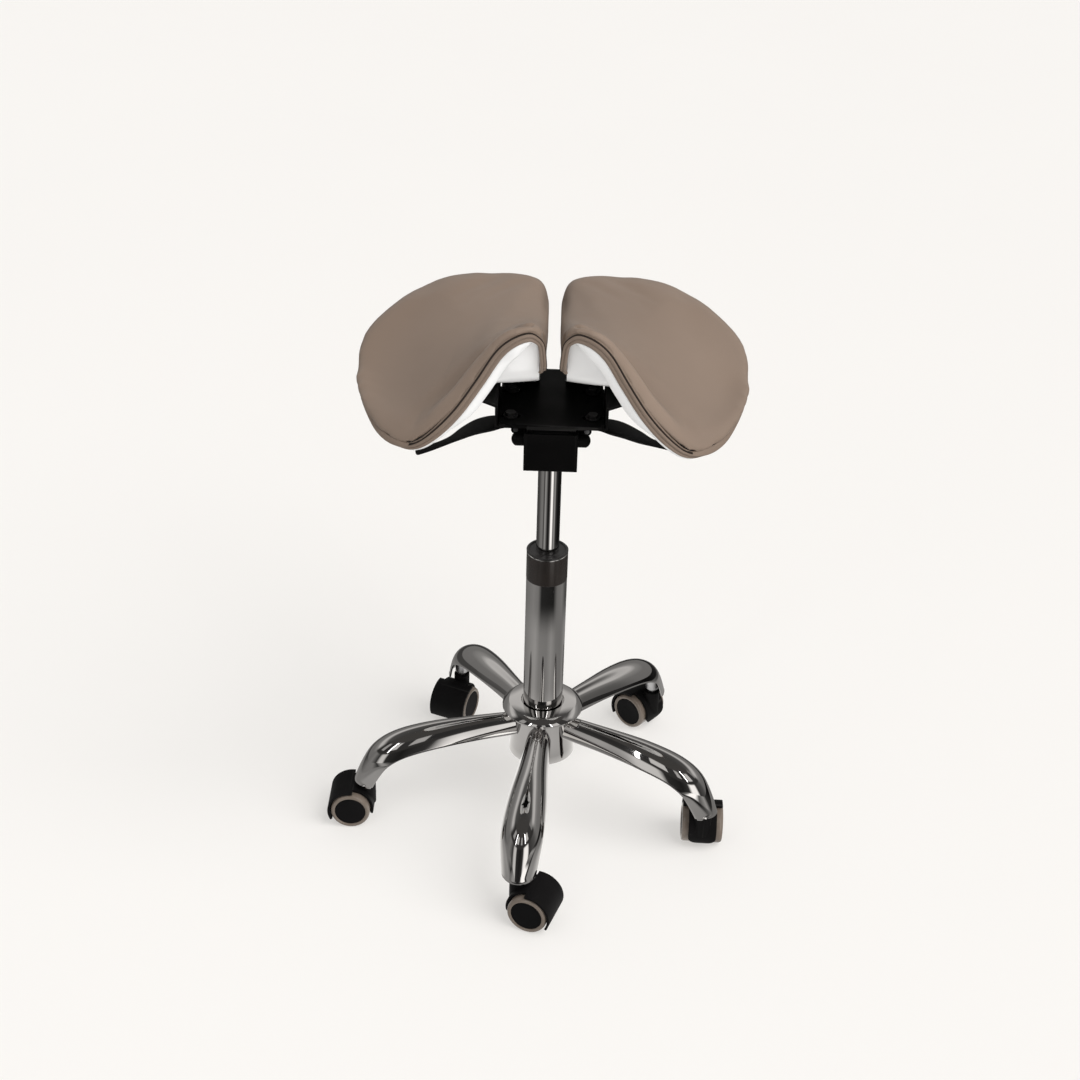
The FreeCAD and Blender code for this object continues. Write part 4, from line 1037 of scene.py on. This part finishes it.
# %% Carry the double band, the dark cord of painted seam shade and the shell's rim
def carried(name, profile, order, root=0.0, thin=(), folds=()):
    """Closed profile of (out, away) millimetres, carried along some points of the seam."""
    rows = []
    closed = len(order) == len(path)
    for step, i in enumerate(order):
        width = thin[i] if thin else 1.0
        if not closed:
            to_end = min(step, len(order) - 1 - step)
            width *= min(1.0, 0.1 + to_end / 12)
        lip = folds[i] if folds else 1.0
        row = []
        for out, away in profile + profile[:1]:
            away = root + (away - root) * width if away > 0 else away * lip
            row.append(path[i] + outward[i] * (out * MM)
                       + inside_way[i] * (away * band_share[i] * MM))
        rows.append(row)
    if closed:
        return laid_grid(name, rows + rows[:1], wrap=True)
    return laid_grid(name, rows, wrap=True, caps=True)


RIM_ROOT, RIM_WIDTH = 8.4, 12.0
band = carried("band_pattern", (
    (-6.0, 1.5), (-3.6, -2.6), (-2.0, -2.2), (0.1, -0.4), (0.9, 0.6), (1.2, 2.2), (0.9, 3.5),
    (0.1, 4.2), (0.1, 4.6), (0.9, 5.3), (1.2, 6.6), (1.0, 8.0), (0.3, 8.9), (-1.2, 9.2),
    (-4.0, 9.0), (-6.0, 4.0)), range(len(path)), folds=lips)
# Near-black cord in the seam: painted shade of the seam groove.
welt = carried("seam_shadow_pattern", (
    (-3.0, 0.0), (-2.6, -1.8), (-0.9, -1.8), (0.2, -1.4), (0.4, -0.8), (0.2, -0.2),
    (-0.8, 0.2)), [*range(leg_foot, len(path)), *range(seam_shadow_end)])
rim = carried("rim_pattern", (
    (-3.2, 8.4), (-0.6, 8.8), (0.2, 9.4), (0.4, 10.4), (0.1, 18.8), (-0.5, 19.9),
    (-1.6, 20.4), (-2.8, 20.0), (-3.4, 18.8), (-3.6, 12.0)),
    range(leg_top, back_end), root=RIM_ROOT, thin=rim_share)
print("band, welt and rim", len(band.data.polygons), len(welt.data.polygons),
      len(rim.data.polygons), "faces")

# %% [markdown]
# ## The shell
#
# The white shell is one moulding: a tray that follows the underside of the foam
# and a hull below it that stands on the steel plate. The tray is a grid laid
# from the front rim through the bottom of the saddle to the back rim. The hull
# is a sleeve over six sections, closed at both ends and well rounded.

# %% Lay the tray
TRAY_START, TRAY_STEPS, TRAY_PASSES, TRAY_SHEET = 0.0175, 20, 30, 0.003
TRAY_BELLY, BELLY_LOSS, TRAY_CLOSING = 0.0115, 0.0080, Vector((-0.003, 0, 0.0035))
TRAY_INSET, RIM_OVERLAP = 0.0022, 2.5


def tray_edge(point):
    """Where the tray meets the back of the rim."""
    i = nearest_frame(point)
    reach = (RIM_ROOT + (RIM_WIDTH - RIM_OVERLAP) * rim_share[i]) * band_share[i] * MM
    return drawn_in(point) + inside_way[i] * reach - outward[i] * TRAY_INSET


tray_rows = []
for s in sections[:-2]:
    x = s["front"].x
    if x > TRAY_START:
        start, end = tray_edge(s["front"]), tray_edge(s["back"])
        belly = TRAY_BELLY - BELLY_LOSS * eased(x / SEAT_HALF, 0.84, 0.98)
        low = s["base"] - Vector((0, 0, belly))
        row = straight_run(start, low, TRAY_STEPS) + straight_run(low, end, TRAY_STEPS) + [end]
        tray_rows.append(averaged(row, TRAY_PASSES))
for _ in range(2):
    tray_rows.append([point + TRAY_CLOSING for point in tray_rows[-1]])
tray = laid_grid("tray_pattern", tray_rows)
apply_modifier(tray, "SOLIDIFY", thickness=TRAY_SHEET, offset=0)

# %% Lay the hull
# Each section has its share of the way across and how far its foot is lifted.
HULL_SHARES = ((0.0665, 0.00), (0.131, 0.00), (0.197, 0.00), (0.262, 0.00), (0.33, 0.30),
               (0.38, 0.62))
HULL_FRONT, HULL_BACK, HULL_FOOT = 0.070, 0.104, 0.5718
KNEE_BACK, KNEE_HEIGHT, KNEE_BELOW = 0.009, 0.6400, 0.003
FRONT_INSET, BACK_INSET, UNDER_TRAY, UNDER_TRAY_GAIN = 0.008, 0.013, 0.0055, 0.0035
HULL_STRIP, HULL_EDGE = 6, 0.004


def section_at(across):
    """Section at any share of the way across, from its neighbours in the table."""
    for near, far in zip(SEAT_SHARES, SEAT_SHARES[1:]):
        if near[0] <= across <= far[0]:
            part = (across - near[0]) / (far[0] - near[0])
            return section(tuple(a + (b - a) * part for a, b in zip(near, far)))


def hull_row(across, lift):
    """Foot, front wall, top and back wall of the hull in one section."""
    s = section_at(across)
    lowered = Vector((0, 0, UNDER_TRAY + UNDER_TRAY_GAIN * eased(across, 0.10, 0.22)))
    middle = s["base"] - lowered
    front, back = s["front"] - lowered, s["back"] - lowered
    front = front.lerp(middle, FRONT_INSET / (middle.y - front.y))
    back = back.lerp(middle, BACK_INSET / (back.y - middle.y))
    foot = HULL_FOOT + lift * (middle.z - HULL_FOOT)
    heel = Vector((front.x, HULL_FRONT * (1 - lift), foot))
    knee = Vector((front.x, front.y + KNEE_BACK, min(KNEE_HEIGHT, front.z - KNEE_BELOW)))
    row = averaged(straight_run(heel, knee, 9) + straight_run(knee, front, HULL_STRIP))
    corners = [front, middle, back, Vector((front.x, HULL_BACK, foot)), heel]
    for a, b in zip(corners, corners[1:]):
        row += straight_run(a, b, HULL_STRIP)
    return row + [heel.copy()]


hull_table = [HULL_SHARES[0]]
for near, far in zip(HULL_SHARES, HULL_SHARES[1:]):
    for share in (0.34, 0.67, 1.0):
        hull_table.append([a + (b - a) * share for a, b in zip(near, far)])
hull = laid_grid("hull_pattern", [hull_row(*row) for row in hull_table], wrap=True, caps=True)
round_edges(hull, HULL_EDGE, 3, 38)
print("tray and hull", len(tray.data.polygons), len(hull.data.polygons), "faces")

# %% Fit both halves of the seat
COVER, SHELL = ("seat_cover", "pad"), ("seat_shell", "shell")
SEAT_PIECES = (
    ("cushion", cushion, leather, *COVER), ("band", band, band_leather, *COVER),
    # The third row is the near-black cord of painted seam shade.
    ("welt", welt, seam_shadow_brown, *COVER), ("rim", rim, shell_white, *SHELL),
    ("tray", tray, shell_white, *SHELL), ("hull", hull, shell_white, *SHELL),
)
for half, matrix in (("right", Matrix.Identity(4)), ("left", MIRROR)):
    body = body_of(f"seat_{half}_pad")
    for name, pattern, material, slot, part in SEAT_PIECES:
        piece = place(own_copy(pattern, f"seat_{half}_{name}"), matrix)
        dress(piece, body, material, slot, f"seat_{half}_{part}")
for _, pattern, *_ in SEAT_PIECES:
    bpy.data.objects.remove(pattern)
print("seat pieces", 2 * len(SEAT_PIECES))

# %% [markdown]
# ## Floor, light and surroundings
#
# The stool stands on a pale floor in a soft, even studio light. Chrome shows
# its surroundings more than itself: the real base mirrors a white sheet near
# its feet, a darker room beyond it and a few bright strips. So rays that come
# from glossy surfaces meet a floor and a sky that are darker away from the
# stool, while the camera and the soft light see them pale.

# %% Streaks that the chrome mirrors
# Each pair is a place on a scale from 0 to 1 and a brightness there. The scale runs
# once round from the back for bearings, and from the horizon to the zenith for heights.
NEAR_STREAKS = {
    0.0: 0.20, 0.10: 0.26, 0.24: 0.38, 0.35: 0.48, 0.42: 0.32, 0.53: 0.30, 0.60: 0.42,
    0.68: 0.28, 0.78: 0.26, 0.88: 0.36, 1.0: 0.20}
MIDDLE_STREAKS = {
    0.0: 0.12, 0.16: 0.26, 0.30: 0.34, 0.38: 0.28, 0.43: 0.03, 0.62: 0.02, 0.68: 0.24,
    0.78: 0.30, 0.86: 0.10, 1.0: 0.10}
FAR_STREAKS = {
    0.0: 0.06, 0.20: 0.09, 0.28: 0.28, 0.335: 0.30, 0.37: 0.04, 0.395: 0.45, 0.415: 0.45,
    0.44: 0.2, 0.47: 0.02, 0.51: 0.02, 0.54: 0.3, 0.56: 1.8, 0.597: 1.8, 0.62: 0.15, 0.665: 0.5,
    0.70: 0.05, 0.78: 0.005, 0.88: 0.02, 1.0: 0.06}
WALL_STREAKS = {
    0.0: 0.25, 0.20: 0.16, 0.30: 0.30, 0.36: 0.04, 0.385: 0.9, 0.415: 0.9, 0.43: 0.04,
    0.50: 0.02, 0.55: 0.05, 0.575: 1.6, 0.625: 1.6, 0.645: 0.05, 0.72: 0.12, 0.80: 0.28,
    0.90: 0.20}
CEILING_BLOCKS = {
    0.0: 0.3, 0.22: 0.05, 0.30: 0.5, 0.34: 0.04, 0.41: 0.85, 0.45: 0.05, 0.50: 0.6, 0.53: 0.04,
    0.59: 0.85, 0.65: 0.06, 0.72: 0.3, 0.80: 0.05}
BACK_HEIGHTS = {
    0.0: 0.24, 0.30: 0.26, 0.46: 0.40, 0.54: 0.78, 0.64: 0.72, 0.74: 0.12, 1.0: 0.07}
WARM = (1.0, 0.975, 0.95)


def ramp_of(tree, source, pairs, interpolation="LINEAR"):
    """Ramp of warm greys over a value."""
    ramp = add_node(tree, "ShaderNodeValToRGB")
    ramp.color_ramp.interpolation = interpolation
    steps = ramp.color_ramp.elements
    while len(steps) < len(pairs):
        steps.new(0.5)
    for step, (position, bright) in zip(steps, pairs.items()):
        step.position = position
        step.color = (*[bright * share for share in WARM], 1)
    wire(tree, (*source, ramp, "Fac"))
    return ramp, "Color"


def bearing_of(tree, direction):
    """Direction round the column as a number from 0 to 1."""
    parts = add_node(tree, "ShaderNodeSeparateXYZ")
    flip = add_node(tree, "ShaderNodeMath", operation="MULTIPLY")
    flip.inputs[1].default_value = -1
    turn = add_node(tree, "ShaderNodeMath", operation="ARCTAN2")
    scaled = add_node(tree, "ShaderNodeMapRange", From_Min=-math.pi, From_Max=math.pi)
    wire(tree, (*direction, parts, "Vector"), (parts, "Y", flip, 0), (parts, "X", turn, 0),
         (flip, "Value", turn, 1), (turn, "Value", scaled, "Value"))
    return scaled, "Result"


def blended(tree, value, start, end, first, second):
    """Two colours, fixed or from a node, blended where a value runs from start to end."""
    share = add_node(tree, "ShaderNodeMapRange", clamp=True, interpolation_type="SMOOTHSTEP",
                     From_Min=start, From_Max=end)
    mix = add_node(tree, "ShaderNodeMix", data_type="RGBA")
    wire(tree, (*value, share, "Value"), (share, "Result", mix, "Factor"))
    for entrance, colour in (("A", first), ("B", second)):
        if len(colour) == 4:
            mix.inputs[entrance].default_value = colour
        else:
            wire(tree, (*colour, mix, entrance))
    return mix, "Result"


def split_view(tree, seen, mirrored, leave):
    """One shader for the camera and the soft light, another for glossy rays."""
    rays = add_node(tree, "ShaderNodeLightPath")
    swap = add_node(tree, "ShaderNodeMixShader")
    wire(tree, (rays, "Is Glossy Ray", swap, "Fac"), (seen, 0, swap, 1),
         (mirrored, 0, swap, 2), (swap, "Shader", leave, "Surface"))


# %% Lay the floor
bpy.ops.mesh.primitive_grid_add(x_subdivisions=40, y_subdivisions=40, size=40)
floor = named_active("pale_floor")
floor_paint = bpy.data.materials.new("pale_floor_paint")
floor_paint.use_nodes = True
tree = floor_paint.node_tree
pale = fill(tree.nodes["Principled BSDF"], Roughness=0.9, Specular_IOR_Level=0.1)
paint = clouded(tree, 0.8, (0.90, 0.888, 0.870), (0.885, 0.872, 0.855))
lit_paper = add_node(tree, "ShaderNodeEmission", Strength=1.0, Color=(0.945, 0.925, 0.895, 1))
backlit = add_node(tree, "ShaderNodeMixShader", Fac=0.5)
spot = add_node(tree, "ShaderNodeTexCoord")
far_off = add_node(tree, "ShaderNodeVectorMath", operation="LENGTH")
room = add_node(tree, "ShaderNodeEmission", Strength=1.0)
wire(tree, (paint, "Result", pale, "Base Color"), (pale, "BSDF", backlit, 1),
     (lit_paper, "Emission", backlit, 2), (spot, "Object", far_off, 0))
bearing = bearing_of(tree, (spot, "Object"))
mirrored_floor = (1.05, 1.03, 1.0, 1)
for start, end, streaks in ((0.13, 0.30, NEAR_STREAKS), (0.42, 0.52, MIDDLE_STREAKS),
                            (0.60, 0.68, FAR_STREAKS)):
    mirrored_floor = blended(tree, (far_off, "Value"), start, end, mirrored_floor,
                             ramp_of(tree, bearing, streaks))
wire(tree, (*mirrored_floor, room, "Color"))
split_view(tree, backlit, room, tree.nodes["Material Output"])
floor.data.materials.append(floor_paint)
print("floor of", len(tree.nodes), "nodes")

# %% Set the surroundings
world = bpy.data.worlds.new("studio")
bpy.context.scene.world = world
world.use_nodes = True
tree = world.node_tree
tree.nodes.clear()
heading = add_node(tree, "ShaderNodeTexCoord")
parts = add_node(tree, "ShaderNodeSeparateXYZ")
soft_sky = add_node(tree, "ShaderNodeBackground", Strength=0.53, Color=(1.0, 0.985, 0.97, 1))
mirrored_room = add_node(tree, "ShaderNodeBackground", Strength=1.0)
wire(tree, (heading, "Generated", parts, "Vector"))
height = (parts, "Z")
bearing = bearing_of(tree, (heading, "Generated"))
front_half = ramp_of(tree, bearing, WALL_STREAKS)
for start, end, above_it in (
        (0.40, 0.48, (0.05, 0.048, 0.046, 1)),
        (0.56, 0.60, ramp_of(tree, bearing, CEILING_BLOCKS, "CONSTANT")),
        (0.78, 0.82, (0.08, 0.076, 0.072, 1))):
    front_half = blended(tree, height, start, end, front_half, above_it)
back_half = ramp_of(tree, height, BACK_HEIGHTS)
both = blended(tree, (parts, "Y"), -0.10, 0.15, front_half, back_half)
wire(tree, (*both, mirrored_room, "Color"))
split_view(tree, soft_sky, mirrored_room, add_node(tree, "ShaderNodeOutputWorld"))
print("surroundings of", len(tree.nodes), "nodes")

# %% Hang the lights
def hang(kind, name, spot, aim, **settings):
    """Light that looks from a spot at an aim."""
    bpy.ops.object.light_add(type=kind, location=spot)
    lamp = bpy.context.active_object
    lamp.name = name
    lamp.rotation_euler = (Vector(aim) - Vector(spot)).to_track_quat("-Z", "Y").to_euler()
    for label, value in settings.items():
        setattr(lamp.data, label, value)
    return lamp


key = hang("SUN", "right_key", (1.75, -0.9, 2.25), (0, 0, 0), energy=2.2,
           angle=math.radians(50), color=(1.0, 0.985, 0.97))
key.visible_glossy = False
for side, x, y, z, length in (("left", -1.5, -2.0, 2.3, 1.5), ("right", 1.2, -2.1, 2.4, 1.4)):
    hang("AREA", f"front_{side}_strip", (x, y, z), (0, 0, 0.2), energy=4, shape="RECTANGLE",
         size=0.12, size_y=length)
